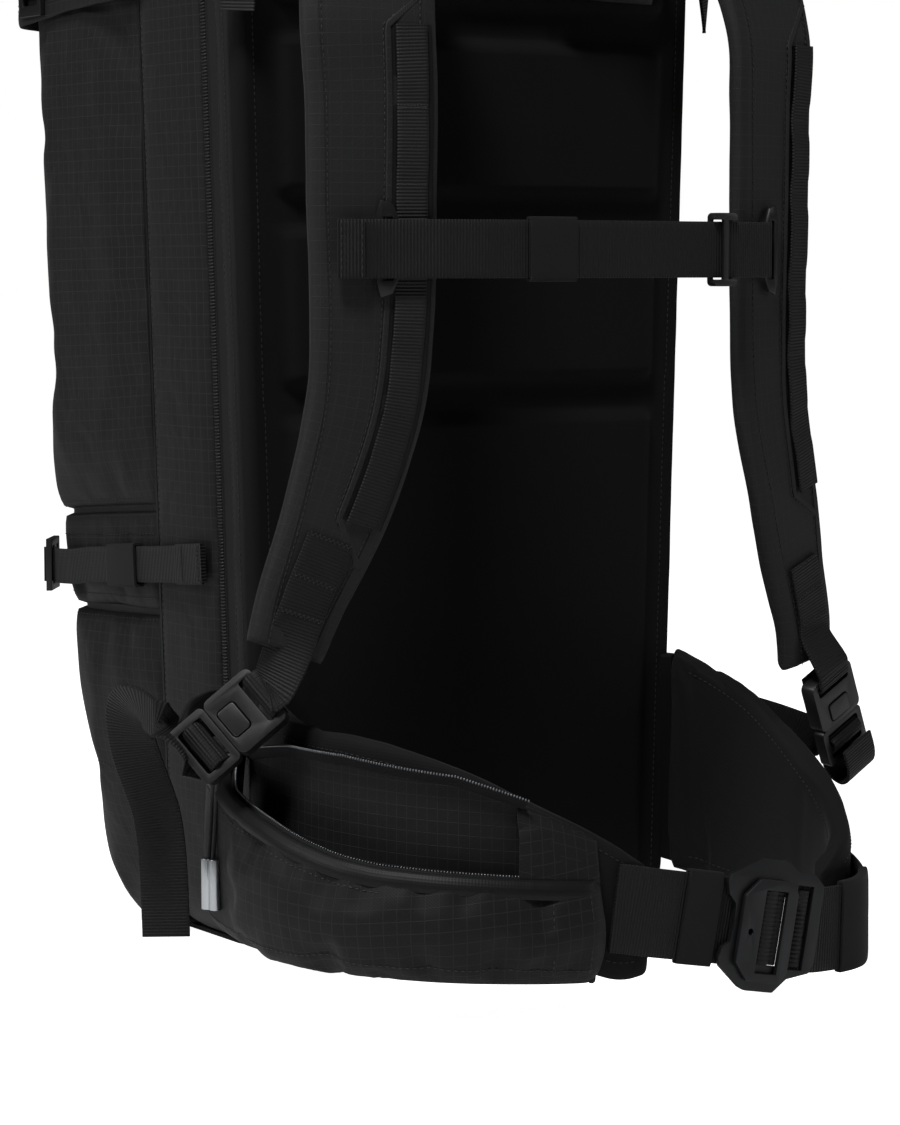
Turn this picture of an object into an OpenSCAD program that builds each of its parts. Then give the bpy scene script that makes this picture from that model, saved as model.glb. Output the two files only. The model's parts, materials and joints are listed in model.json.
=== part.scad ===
// Avalanche airbag backpack: zipped bag, back panel, lid over the airbag, gas inflator,
// shoulder harness, sternum strap and hip belt. Millimetres, +Z up.
// The origin is the middle of the base. The wearer's side of the bag faces -Y.
// Lengths called y are measured from the face of the back panel, and from_back() places them.

/* [Bag] */
// Width of the bag at the ground
base_w = 260; // [252:1:268]
// Width of the bag at the shoulder end
top_w = 290; // [284:1:296]
// Greatest depth of the bag, from the face of the back panel
bag_depth = 248; // [244:1:250]
// Thickness of the fabric with its lining
fabric = 2; // [1.6:0.1:2.2]

/* [Harness] */
// Thickness of a shoulder strap's foam
strap_foam = 12; // [9:0.5:12]
// Thickness of a hip wing's foam
wing_foam = 14; // [11:0.5:14]
// Width of the sternum webbing
sternum_w = 29; // [24:1:30]
// Width of the hip webbing
hip_w = 44; // [38:1:45]
// Thickness of all webbing
webbing = 1.8; // [1.4:0.1:2]

/* [Inflator] */
// Radius of the gas cylinder
cylinder_r = 28; // [24:0.5:29]
// Length of the gas cylinder with its ends
cylinder_l = 200; // [180:1:205]

/* [Hidden] */
$fn = 32;

back_y = -100;        // the back panel's face, in the part's frame
ground_gap = 3.5;     // the shells stand on the base panel
gauge_z = 510;        // height at which top_w is measured
body_top = 556;
panel_top = 564;
zip_y = [26.3, 42.7]; // the main zip, from the back panel's face
shell_y = 43;
seam_y = 109;
waist_z = [172, 230];
gap = 0.5;            // room left between two sewn pieces

// ---------- curves and sweeps ----------

function unit(v) = v / norm(v);
function flat(lists) = [for (a = lists) for (b = a) b];
function clamp01(t) = max(0, min(1, t));
function mix(a, b, t) = a + (b - a) * t;
function arc(cx, cy, r, from, to, steps = 4) =
  [for (i = [0:steps]) let (a = mix(from, to, i / steps)) [cx + r * cos(a), cy + r * sin(a)]];

function catmull(a, b, c, d, t) =
  0.5 * ((2 * b) + (c - a) * t + (2 * a - 5 * b + 4 * c - d) * t * t
    + (3 * b - a - 3 * c + d) * t * t * t);
function smooth(rows, steps) = let (last = len(rows) - 1)
  concat([for (i = [0:last - 1]) for (k = [0:steps - 1])
    catmull(rows[max(i - 1, 0)], rows[i], rows[i + 1], rows[min(i + 2, last)], k / steps)],
    [rows[last]]);

// A row is [x, y, z, width, across x, across y, across z].
// A frame is [point, across, normal, width, along].
function point(row) = [row[0], row[1], row[2]];
function frames(rows) = let (last = len(rows) - 1)
  [for (i = [0:last])
    let (along = unit(point(rows[min(i + 1, last)]) - point(rows[max(i - 1, 0)])),
         wish = [rows[i][4], rows[i][5], rows[i][6]],
         across = unit(wish - (wish * along) * along))
    [point(rows[i]), across, cross(along, across), rows[i][3], along]];
// Frames whose across vector stays upright while the strip rises or falls.
function upright(x, y, z0, z1) = [x, y, (z0 + z1) / 2, z1 - z0, 0, 0, 1];
function plan_frames(rows) = let (last = len(rows) - 1)
  [for (i = [0:last])
    let (step = point(rows[min(i + 1, last)]) - point(rows[max(i - 1, 0)]),
         along = unit([step[0], step[1], 0]))
    [point(rows[i]), [0, 0, 1], cross(along, [0, 0, 1]), rows[i][3], along]];
function shifted(list, side, lift) =
  [for (f = list) [f[0] + f[1] * side(f[3]) + f[2] * lift, f[1], f[2], f[3], f[4]]];
function part_of(list, first, last) = [for (i = [first:last]) list[i]];

// Rings turn anticlockwise seen from the end that they progress to.
module loft(rings) {
  n = len(rings[0]);
  m = len(rings);
  at = function(i, j) i * n + j % n;
  polyhedron(flat(rings), concat(
    [[for (j = [0:n - 1]) at(0, j)]],
    [[for (j = [n - 1:-1:0]) at(m - 1, j)]],
    [for (i = [0:m - 2]) for (j = [0:n - 1]) [at(i, j), at(i + 1, j), at(i + 1, j + 1)]],
    [for (i = [0:m - 2]) for (j = [0:n - 1]) [at(i, j), at(i + 1, j + 1), at(i, j + 1)]]));
}

// A shell, open at the first ring and closed at the last.
module bowl(outer, inner) {
  n = len(outer[0]);
  m = len(outer);
  out = function(i, j) i * n + j % n;
  in = function(i, j) (m + i) * n + j % n;
  polyhedron(concat(flat(outer), flat(inner)), concat(
    [[for (j = [n - 1:-1:0]) out(m - 1, j)]],
    [[for (j = [0:n - 1]) in(m - 1, j)]],
    [for (i = [0:m - 2]) for (j = [0:n - 1]) [out(i, j), out(i + 1, j), out(i + 1, j + 1)]],
    [for (i = [0:m - 2]) for (j = [0:n - 1]) [out(i, j), out(i + 1, j + 1), out(i, j + 1)]],
    [for (i = [0:m - 2]) for (j = [0:n - 1]) [in(i, j), in(i + 1, j + 1), in(i + 1, j)]],
    [for (i = [0:m - 2]) for (j = [0:n - 1]) [in(i, j), in(i, j + 1), in(i + 1, j + 1)]],
    [for (j = [0:n - 1]) [out(0, j), out(0, j + 1), in(0, j + 1)]],
    [for (j = [0:n - 1]) [out(0, j), in(0, j + 1), in(0, j)]]));
}

function strip_ring(f, w, t, e) =
  let (h = w / 2, k = t / 2,
       corners = [[-h, -k + e], [-h + e, -k], [h - e, -k], [h, -k + e],
                  [h, k - e], [h - e, k], [-h + e, k], [-h, k - e]])
  [for (c = corners) f[0] + f[1] * c[0] + f[2] * c[1]];

// A strip of thickness t along frames; w overrides the frames' own width.
module strip(list, t, w = 0, e = 0.5)
  loft([for (f = list) strip_ring(f, w > 0 ? w : f[3], t, e)]);

// A flat sleeve round a strip, with room inside.
module sleeve(list, w, t, skin = 1.2)
  difference() {
    strip(list, t + 2 * skin, w + 2 * skin, 0.4);
    strip([for (i = [0:len(list) - 1])
      let (f = list[i], push = i == 0 ? -1 : i == len(list) - 1 ? 1 : 0)
      [f[0] + f[4] * push, f[1], f[2], f[3], f[4]]], t, w, 0.2);
  }

module from_back() translate([0, back_y, 0]) children();
module other_side() mirror([1, 0, 0]) children();
module slab(y0, y1)
  translate([0, y1, 0]) rotate([90, 0, 0]) linear_extrude(y1 - y0) children();

// Puts +X along d and +Y along w at p.
module placed(p, d, w) {
  n = cross(d, w);
  multmatrix([[d[0], w[0], n[0], p[0]], [d[1], w[1], n[1], p[1]], [d[2], w[2], n[2], p[2]],
    [0, 0, 0, 1]]) children();
}

// ---------- the bag ----------

function half_w(z) = mix(base_w, top_w, z / gauge_z) / 2;
function outline(z0, z1, inset, r) = concat(
  arc(half_w(z0) - r, z0 + r, r - inset, -90, 0),
  arc(half_w(z1) - r, z1 - r, r - inset, 0, 90),
  arc(r - half_w(z1), z1 - r, r - inset, 90, 180),
  arc(r - half_w(z0), z0 + r, r - inset, 180, 270));
function ring_at(y, z0, z1, inset, r) =
  let (p = outline(z0, z1, inset, r)) [for (i = [len(p) - 1:-1:0]) [p[i][0], y, p[i][1]]];
module bag_slice(y0, y1, z0, z1, wall, r = 30)
  slab(y0, y1) difference() {
    polygon(outline(z0, z1, 0, r));
    polygon(outline(z0, z1, wall, r));
  }

// A sewn front section, hollow and open at the back. Each row is [z, depth, bulge of the sides].
module front_section(rows) {
  corner = 18;
  last = len(rows) - 1;
  ring = function(row, skin, back) let (h = half_w(row[0]) + row[2] - skin, d = row[1] - skin)
    [for (p = concat(arc(h - corner, d - corner, corner - skin / 2, 0, 90),
        arc(corner - h, d - corner, corner - skin / 2, 90, 180), [[-h, back], [h, back]]))
      [p[0], p[1], row[0]]];
  from_back() difference() {
    loft([for (row = rows) ring(row, 0, seam_y + gap)]);
    loft([for (i = [0:last]) ring([rows[i][0] + (i == 0 ? fabric : i == last ? -fabric : 0),
      rows[i][1], rows[i][2]], fabric, seam_y - 5)]);
  }
}

module base_panel() color("#1b1b1c")
  linear_extrude(3) polygon(concat(
    arc(94, 34, 18, 0, 90), arc(-94, 34, 18, 90, 180),
    arc(-94, -34, 18, 180, 270), arc(94, -34, 18, 270, 360)));

hose_x = -70;
hose_y = 62;
module main_shell() color("#202021") from_back() difference() {
  union() {
    bag_slice(shell_y, seam_y, ground_gap, body_top, fabric);
    slab(seam_y - fabric, seam_y) polygon(outline(ground_gap, body_top, 1, 30));
  }
  translate([hose_x, hose_y + 8, body_top - 10]) cylinder(h = 20, r = 12);
}
module front_pocket() color("#202021") front_section([
  [waist_z[1] + gap, bag_depth - 17, -4], [waist_z[1] + 5, bag_depth - 11, 0],
  [260, bag_depth - 6, 2], [300, bag_depth - 2, 3.5], [400, bag_depth, 4],
  [460, bag_depth - 1, 3], [500, bag_depth - 3, 2], [524, bag_depth - 6, 1],
  [530, bag_depth - 12, -4]]);
module waist_band() color("#202021") front_section([
  [waist_z[0], bag_depth - 29, -4], [waist_z[0] + 5, bag_depth - 23, 0],
  [200, bag_depth - 15, 1], [waist_z[1] - 5, bag_depth - 11, 0],
  [waist_z[1], bag_depth - 16, -4]]);
module lower_pocket() color("#202021") front_section([
  [ground_gap, bag_depth - 98, -4], [9, bag_depth - 84, 0], [22, bag_depth - 68, 0],
  [38, bag_depth - 52, 0], [80, bag_depth - 40, 1], [120, bag_depth - 28, 1],
  [waist_z[0] - 6, bag_depth - 23, 0], [waist_z[0] - gap, bag_depth - 28, -4]]);
module panel_gusset() color("#1a1a1b")
  from_back() bag_slice(12.5, zip_y[0] - 0.3, ground_gap, body_top, fabric);

zip_low = 60;
module zip_ring() from_back() bag_slice(zip_y[0], zip_y[1], ground_gap, body_top, 3);
module main_zip_tape() color("#2b2b2c") intersection() {
  zip_ring();
  translate([-200, -200, zip_low]) cube([400, 400, 600]);
}
module bottom_fold() color("#1a1a1b") intersection() {
  zip_ring();
  translate([-200, -200, 0]) cube([400, 400, zip_low - gap]);
}

// Moulded foam: a sheet with four raised pads between sewn grooves.
pad_edges = [[30, 290], [304, 390], [404, 490], [505, 550]];
module back_panel() color("#0c0c0d") from_back() {
  slab(2, 12) polygon(outline(6, panel_top, 0, 26));
  for (pad = pad_edges)
    slab(-6, 2.01) polygon([
      [18 - half_w(pad[0]), pad[0]], [half_w(pad[0]) - 18, pad[0]],
      [half_w(pad[1]) - 18, pad[1]], [18 - half_w(pad[1]), pad[1]]]);
}
module frame_sheet() color("#d8d8d4") from_back()
  slab(13, 15) polygon(outline(30, 530, 8, 40));
module aluminium_stays() color("#b8bbbf") from_back()
  for (side = [-1, 1])
    translate([side * 60 - 10, 15.3, 50]) cube([20, 3, 440]);

// ---------- lid and inflator ----------

hinge_y = 44;
hinge_z = 560;
lid_depth = bag_depth + 7;
module top_lid() color("#202021") {
  edge = function(y) y <= 110 ? mix(hinge_z + 1, 512, clamp01((y - 46) / 64))
    : mix(512, 502, (y - 110) / (lid_depth - 110));
  plan = function(inset) let (h = top_w / 2 + 10, front = 26, rear = 16)
    concat(arc(h - front, lid_depth - front, front - inset, 90, 0),
      arc(h - rear, hinge_y + 1.5 + rear, rear - inset, 0, -90),
      arc(rear - h, hinge_y + 1.5 + rear, rear - inset, 270, 180),
      arc(front - h, lid_depth - front, front - inset, 180, 90));
  rim = function(inset) [for (p = plan(inset)) [p[0], p[1], edge(p[1])]];
  level = function(z, inset) [for (p = plan(inset)) [p[0], p[1], z]];
  from_back() bowl_up(
    [rim(0), level(578, 0), level(594, 2), level(604, 6), level(611, 14)],
    [rim(fabric), level(577, fabric), level(592, 4), level(601.5, 8), level(608.5, 15)]);
}
// A bowl whose rings turn clockwise seen from above and rise.
module bowl_up(outer, inner) {
  turn = function(ring) [for (i = [len(ring) - 1:-1:0]) ring[i]];
  bowl([for (r = outer) turn(r)], [for (r = inner) turn(r)]);
}
module lid_hook() translate([-top_w / 2 - 13.3, 200, 508]) difference() {
  cube([3, 26, 28]);
  translate([-1, 4, 6]) cube([5, 18, 4]);
  translate([-1, 4, 16]) cube([5, 18, 4]);
}
module lid_hooks() color("#161617") from_back() {
  lid_hook();
  other_side() lid_hook();
}

module airbag() color("#d2502a") from_back() {
  level = function(z, inset) let (h = 118, r = 34)
    [for (p = concat(arc(h - r, 210 - r, r - inset, 0, 90), arc(r - h, 210 - r, r - inset, 90, 180),
      arc(r - h, 62 + r, r - inset, 180, 270), arc(h - r, 62 + r, r - inset, 270, 360)))
      [p[0], p[1], z]];
  loft([level(body_top + gap, 8), level(562, 2), level(572, 0), level(584, 3), level(592, 14)]);
}

cyl_x = -70;
cyl_y = hose_y + 8;
cyl_z = 70;
module gas_cylinder() color("#8c8f93") from_back() translate([cyl_x, cyl_y, cyl_z])
  rotate_extrude() polygon(concat([[0, 0]], [[cylinder_r - 8, 0]],
    arc(cylinder_r - 8, 8, 8, -90, 0),
    arc(cylinder_r - 18, cylinder_l - 34, 18, 0, 90), [[8, cylinder_l - 16]],
    [[8, cylinder_l]], [[0, cylinder_l]]));

valve_z = cyl_z + cylinder_l + gap;
pin_r = 3;
module valve_head() color("#b08d4a") from_back() translate([cyl_x, cyl_y, valve_z]) difference() {
  union() {
    cylinder(h = 44, r = 17);
    translate([0, 0, 26]) rotate([90, 0, 0]) cylinder(h = 24, r = 9);
  }
  translate([0, 3, 26]) rotate([90, 0, 0]) cylinder(h = 40, r = pin_r + 0.05);
}
module firing_pin() color("#9a9a9a") from_back()
  translate([cyl_x, cyl_y - 4, valve_z + 26]) rotate([90, 0, 0]) cylinder(h = 26, r = pin_r);
module inflator_hose() color("#3a3a3c") from_back()
  translate([cyl_x, cyl_y, valve_z + 44 + gap]) difference() {
    cylinder(h = body_top - valve_z - 44 - 1, r = 11);
    translate([0, 0, -1]) cylinder(h = 400, r = 8);
  }

// ---------- shoulder harness, left side ----------

function lean(yaw) = [cos(yaw), sin(yaw), 0];
chest = [-125, -94];  // middle of the left strap at chest height
chest_yaw = -18;
strap_top = [
  concat([-76, -13.5, 512, 62], lean(0)), concat([-77, -17.5, 542, 64], lean(0)),
  concat([-86, -36, 562, 66], lean(-4)), concat([-104, -62, 556, 68], lean(-8)),
  concat([-119, -82, 528, 69], lean(-12)), concat([-126, -92, 492, 69], lean(-16)),
  concat([chest[0], chest[1], 450, 67], lean(chest_yaw)),
  concat([chest[0], chest[1], 400, 66], lean(chest_yaw)),
  concat([chest[0], chest[1], 340, 63], lean(chest_yaw)),
  concat([-129, -92, 295, 60], lean(-17)), concat([-143, -87, 245, 54], lean(-16))];
left_strap_end = [concat([-158, -81, 205, 46], lean(-15)), concat([-167, -78, 178, 40], lean(-14))];
right_strap_end = [concat([-156, -80, 205, 47], lean(-15)), concat([-166, -76.5, 174, 42], lean(-14)),
  concat([-170.3, -73, 151, 38], lean(-14))];
strap_frames = frames(smooth(concat(strap_top, left_strap_end), 3));
right_strap_frames = frames(smooth(concat(strap_top, right_strap_end), 3));
face = strap_foam / 2;

module left_shoulder_strap() color("#262627") from_back() strip(strap_frames, strap_foam, 0, 2.5);
module right_shoulder_strap() color("#262627") from_back()
  other_side() strip(right_strap_frames, strap_foam, 0, 2.5);

daisy_w = 16;
module left_daisy_chain() color("#2e2e2f") from_back()
  strip(part_of(shifted(strap_frames, function(w) w / 2 - 14.5, face + 0.3 + webbing / 2), 15, 30),
    webbing, daisy_w, 0.3);

// The release buckle: +X runs from the strap to the loose webbing, +Z faces the user.
// A seat is [middle, along, across].
function seat(p, d, w) = [p, unit(d), unit(w - (w * unit(d)) * unit(d))];
left_seat = seat([-193, -63, 138], [-0.687, 0.333, -0.646], [0.335, -0.648, -0.69]);
right_seat = seat([191, -77, 118], [0.428, 0.168, -0.888], [0.882, 0.128, 0.45]);
module at_seat(s) from_back() placed(s[0], s[1], s[2]) children();
function on_seat(s, x, z) = let (p = s[0] + x * s[1] + z * cross(s[1], s[2]))
  concat(p, [24.5], s[2]);

module soft_box(x0, x1, w, z0, z1, r = 2)
  translate([0, 0, z0]) linear_extrude(z1 - z0) polygon(concat(
    arc(x1 - r, w / 2 - r, r, 0, 90), arc(x0 + r, w / 2 - r, r, 90, 180),
    arc(x0 + r, r - w / 2, r, 180, 270), arc(x1 - r, r - w / 2, r, 270, 360)));

module buckle_body() difference() {
  soft_box(-30, 0, 34, -4.5, 4.5, 4);
  soft_box(-17, 1, 26.5, -2.6, 2.6, 1);
  soft_box(-14, -2.5, 17, 2, 5, 2.5);
  soft_box(-26.5, -21, 26, -6, 6, 1.5);
}
module buckle_tongue() {
  difference() {
    soft_box(0.4, 23, 34, -3.5, 3.5, 3);
    soft_box(4, 10.5, 26, -4, 4, 1.5);
    soft_box(13.5, 19, 26, -4, 4, 1.5);
  }
  soft_box(-15, 1.5, 25.5, -2.2, 0.4, 3);
}
module buckle_latch() soft_box(-13.5, -3, 16, 2.2, 5.3, 2);

// Webbing from the face of a strap, round the buckle's end bar and back behind the strap.
module lower_webbing(f, from, to, s) strip(frames(concat(
    [for (i = [from:to]) concat(f[i][0] + f[i][2] * (face + 0.4 + webbing / 2), [24.5], f[i][1])],
    [on_seat(s, -36, 6.5), on_seat(s, -30, 5.9), on_seat(s, -25.6, 5.6), on_seat(s, -23.7, 2.5),
     on_seat(s, -23.7, -2.5), on_seat(s, -25.6, -5.6), on_seat(s, -31, -6)])), webbing, 0, 0.3);

// Webbing through the tongue's ladder: up behind the first bar and down behind the second.
function ladder(s) = [for (p = [[20, -10], [9, -7.5], [6.6, -3], [7.4, 2.6], [9.6, 5],
  [12.4, 5], [15.4, 2.8], [16.4, -1.6], [18.6, -5]]) on_seat(s, p[0], p[1])];

module left_buckle_body() color("#161617") at_seat(left_seat) buckle_body();
module right_buckle_body() color("#161617") at_seat(right_seat) buckle_body();
module left_buckle_tongue() color("#161617") at_seat(left_seat) buckle_tongue();
module right_buckle_tongue() color("#161617") at_seat(right_seat) buckle_tongue();
module left_buckle_latch() color("#1d1d1e") at_seat(left_seat) buckle_latch();
module right_buckle_latch() color("#1d1d1e") at_seat(right_seat) buckle_latch();

function mirrored(list) = [for (f = list)
  [flip(f[0]), -flip(f[1]), flip(f[2]), f[3], flip(f[4])]];
module left_lower_webbing() color("#2e2e2f") from_back()
  lower_webbing(strap_frames, 32, 35, left_seat);
module right_lower_webbing() color("#2e2e2f") from_back()
  lower_webbing(mirrored(right_strap_frames), 33, 37, right_seat);

tail_side = [0.83, -0.56, 0];
module left_adjuster_webbing() color("#2e2e2f") from_back() strip(frames(concat(
  smooth([[-138, 34, 133, 25, 0, 0, -1], [-152, 24, 134, 25, 0, 0, -1],
    [-176, 0, 133, 25, 0, -0.1, -1], [-192, -26, 126, 25, 0.2, -0.5, -0.8]], 3),
  ladder(left_seat),
  smooth([concat([-216, -42, 130, 25], left_seat[2]), concat([-219, -22, 134, 25], [0.4, -0.5, -0.7]),
    concat([-214, -6, 124, 25], [0.8, -0.5, -0.3]), concat([-203, 6, 106, 25], tail_side),
    concat([-190, 12, 84, 25], tail_side), concat([-185, 15, 56, 25], tail_side),
    concat([-182, 18, 20, 25], tail_side)], 2))), webbing, 0, 0.3);
module right_adjuster_webbing() color("#2e2e2f") from_back() strip(frames(concat(
  smooth([[138, 34, 119, 25, 0, 0, 1], [152, 22, 119, 25, 0, 0, 1],
    [178, -14, 112, 25, 0.2, 0, 1], [194, -46, 104, 25, 0.5, 0.1, 0.8]], 3),
  ladder(right_seat),
  [on_seat(right_seat, 27, -6.4), on_seat(right_seat, 34, -3), on_seat(right_seat, 36.5, 3),
   on_seat(right_seat, 33, 8.6), on_seat(right_seat, 25, 11), on_seat(right_seat, 14, 11)])),
  webbing, 0, 0.3);

// Webbing from the outer edge of a strap's top to the side of the panel, with its free end.
module left_load_lifter() {
  on_strap = function(k) let (f = strap_frames[k])
    concat(f[0] - (f[3] / 2 - 13) * f[1] + (face + 2.2) * f[2], [19], f[1]);
  strip(frames(smooth([on_strap(10), on_strap(9), on_strap(8),
    [-126, -36, 572, 19, 1, -0.2, 0], [-138, -20, 552, 19, 1, -0.2, 0],
    [-148, -8, 522, 19, 0.8, -0.6, 0], [-150, -6, 498, 19, 0.6, -0.8, 0]], 3)), webbing, 0, 0.3);
}
module load_lifters() color("#2e2e2f") from_back() {
  left_load_lifter();
  other_side() left_load_lifter();
}

module haul_loop() color("#2e2e2f") from_back()
  strip(frames(smooth([
    [-34, -11.5, 528, 24, 0, 0.3, 0.95], [-30, -12, 552, 24, 0.9, 0.1, 0.3],
    [-14, -15, 577, 24, 0.4, -0.2, 0.9], [14, -15, 577, 24, -0.4, -0.2, 0.9],
    [30, -12, 552, 24, -0.9, 0.1, 0.3], [34, -11.5, 528, 24, 0, 0.3, 0.95]], 4)),
    2.4, 10, 0.4);

// ---------- trigger ----------

trigger_seat = strap_frames[12];
module at_trigger() from_back()
  placed(trigger_seat[0] + trigger_seat[2] * (face + 0.6), -trigger_seat[1], trigger_seat[4])
    children();
module trigger_holder() color("#1d1d1e") at_trigger() difference() {
  rotate([90, 0, 90]) translate([0, 0, -11]) linear_extrude(22)
    polygon([[-14, 1], [-14, 14], [-34, 14], [-34, -3.2], [-24, -0.2]]);
  translate([0, -24, 7]) rotate([-90, 0, 0]) cylinder(h = 12, r = 4.05);
  translate([0, -40, 7]) rotate([-90, 0, 0]) cylinder(h = 10, r = 2.6);
}
module trigger_handle() color("#c8202a") at_trigger() {
  translate([0, -23, 7]) rotate([-90, 0, 0]) cylinder(h = 12, r = 4);
  translate([-8, -12, 0.6]) cube([16, 12, 13]);
  translate([-18, -1, 0.6]) cube([36, 13, 13]);
}
module trigger_cable() color("#3a3a3c") {
  r = 2;
  start = trigger_seat[0] + trigger_seat[2] * (face + 7.6);
  path = smooth([start - 31 * trigger_seat[4], start - 42 * trigger_seat[4] - [0, 0, 1],
    [-97, -60, 572], [-88, -43, 564], [-80, -22, 550], [-77, -10, 532], [-76, 2, 512],
    [-73, 16, 470], [-70, 32, 400], [-70, 37, 340], [-70, 37, 302]], 3);
  turns = [for (k = [0:7]) k * 45];
  from_back() loft([for (f = frames([for (p = path) [p[0], p[1], p[2], 0, 1, 0, 0]]))
    [for (a = turns) f[0] + r * (cos(a) * f[1] + sin(a) * f[2])]]);
}

// ---------- main zip sliders, on the straight run across the top ----------

module left_main_slider() color("#9a9a9c") from_back() translate([-16, 34.5, body_top + 0.3]) {
  translate([-6, -4.5, 0]) cube([12, 9, 3]);
  translate([-26, -3, 3]) cube([28, 6, 1.6]);
}

// ---------- sternum strap ----------

// A point on the left strap's face at chest height: s across it towards the middle, l off it.
function on_chest(s, l, z) = [chest[0], chest[1], z] + s * lean(chest_yaw)
  + (face + l) * [sin(chest_yaw), -cos(chest_yaw), 0];
function flip(p) = [-p[0], p[1], p[2]];
sternum_z = 377;
sternum_y = -121;
keeper_x = -35;
module strut(points, w, t)
  strip(frames([for (p = points) [p[0], p[1], p[2], w, 0, 0, 1]]), t, 0, 0.3);
module sternum_webbing() color("#2e2e2f") from_back() {
  strut([on_chest(-20, 5, sternum_z), on_chest(-8, 7, sternum_z), on_chest(10, 7, sternum_z),
    on_chest(33, 7, sternum_z), [-74, sternum_y, sternum_z], [82, sternum_y, sternum_z],
    flip(on_chest(32, 6.6, sternum_z)), flip(on_chest(16, 6.6, sternum_z))], sternum_w, webbing);
}
module hook_plate() linear_extrude(2) difference() {
  polygon([[-3, -24], [3, -22], [7, -13], [7, 13], [3, 22], [-3, 24], [-5, 17], [-5, -17]]);
  polygon([[-1.5, -15.5], [3, -15.5], [3, 15.5], [-1.5, 15.5]]);
}
module hook_at(s) placed(on_chest(s, 2.9, sternum_z), lean(chest_yaw), [0, 0, 1]) hook_plate();
module sternum_hooks() color("#3a3a3c") from_back() {
  hook_at(5);
  other_side() hook_at(11);
}
// The webbing runs in front of the two end bars and behind the middle bar.
module sternum_adjuster() color("#2a2a2b") from_back()
  placed([73.5, sternum_y, sternum_z], [1, 0, 0], [0, 0, 1]) difference() {
    soft_box(-7.5, 7.5, 38, -3.2, 3.2, 2.5);
    soft_box(-8.5, 8.5, 31, -1.25, 1.25, 0.5);
    soft_box(-8.5, -1.6, 31, 0, 5, 0.5);
    soft_box(1.6, 8.5, 31, 0, 5, 0.5);
    soft_box(-5, 5, 31, -5, 0, 0.5);
  }
module sternum_keeper() color("#262627") from_back()
  translate([keeper_x, sternum_y, sternum_z]) difference() {
    cube([28, 5, sternum_w + 4], center = true);
    cube([30, webbing + 0.8, sternum_w + 0.8], center = true);
  }

// ---------- hip belt ----------

left_wing_rows = [
  upright(-134, -4, 30, 150), upright(-146, -30, 28, 146), upright(-150, -70, 28, 140),
  upright(-142, -110, 29, 138), upright(-118, -148, 30, 129), upright(-80, -174, 31, 109),
  upright(-45, -186, 19, 88), upright(-26, -189, 20, 76)];
right_wing_rows = [
  upright(134, -4, 28, 154), upright(147, -28, 24, 143), upright(152.5, -55, 21, 131),
  upright(153, -90, 20, 110), upright(147, -121, 19, 90), upright(127, -154, 19, 72),
  upright(101, -172, 21, 57)];
wing_frames = plan_frames(smooth(left_wing_rows, 3));
module left_hip_wing() color("#1c1c1d") from_back() strip(wing_frames, wing_foam, 0, 3);
module right_hip_wing() color("#1c1c1d") from_back()
  strip(plan_frames(smooth(right_wing_rows, 3)), wing_foam, 0, 3);

// The hip pocket hangs on the left wing's outer face and is open along its top.
// The outer wall sags between its ends, where the zip is open.
pocket_last = 17;
pocket_in = wing_foam / 2 + 0.6;
function pocket_t(k) = (k - 1) / (pocket_last - 1);
function pocket_out(k) = mix(mix(30, 37, sin(min(pocket_t(k), 0.6) * 150)), 19,
  clamp01((pocket_t(k) - 0.55) / 0.45));
function pocket_low(k) = mix(31, 20, pocket_t(k));
function pocket_back(k) = lookup(pocket_t(k),
  [[0, 119], [0.35, 127], [0.5, 126], [0.72, 119], [0.88, 104], [1, 90]]);
function pocket_lip(k) = lookup(pocket_t(k),
  [[0, 117], [0.2, 111], [0.31, 106], [0.36, 101], [0.45, 91], [0.52, 85], [0.6, 80], [1, 71]]);
function lip_out(k) = mix(13, pocket_out(k) - 4, clamp01(pocket_t(k) / 0.22));
function pocket_sections(skin) = [for (k = [1:pocket_last])
  let (f = wing_frames[k], trim = k == 1 ? skin : k == pocket_last ? -skin : 0,
       spot = function(off, z) let (p = f[0] + f[2] * off + f[4] * trim) [p[0], p[1], z],
       a = pocket_in + skin, b = pocket_out(k) - skin, z = pocket_low(k) + skin)
  [spot(a, z), spot(a, pocket_back(k)), spot(lip_out(k) - skin, pocket_lip(k) + 1),
   spot(b, pocket_lip(k) - 5), spot(b, z + 9), spot(b - 9, z)]];

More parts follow.
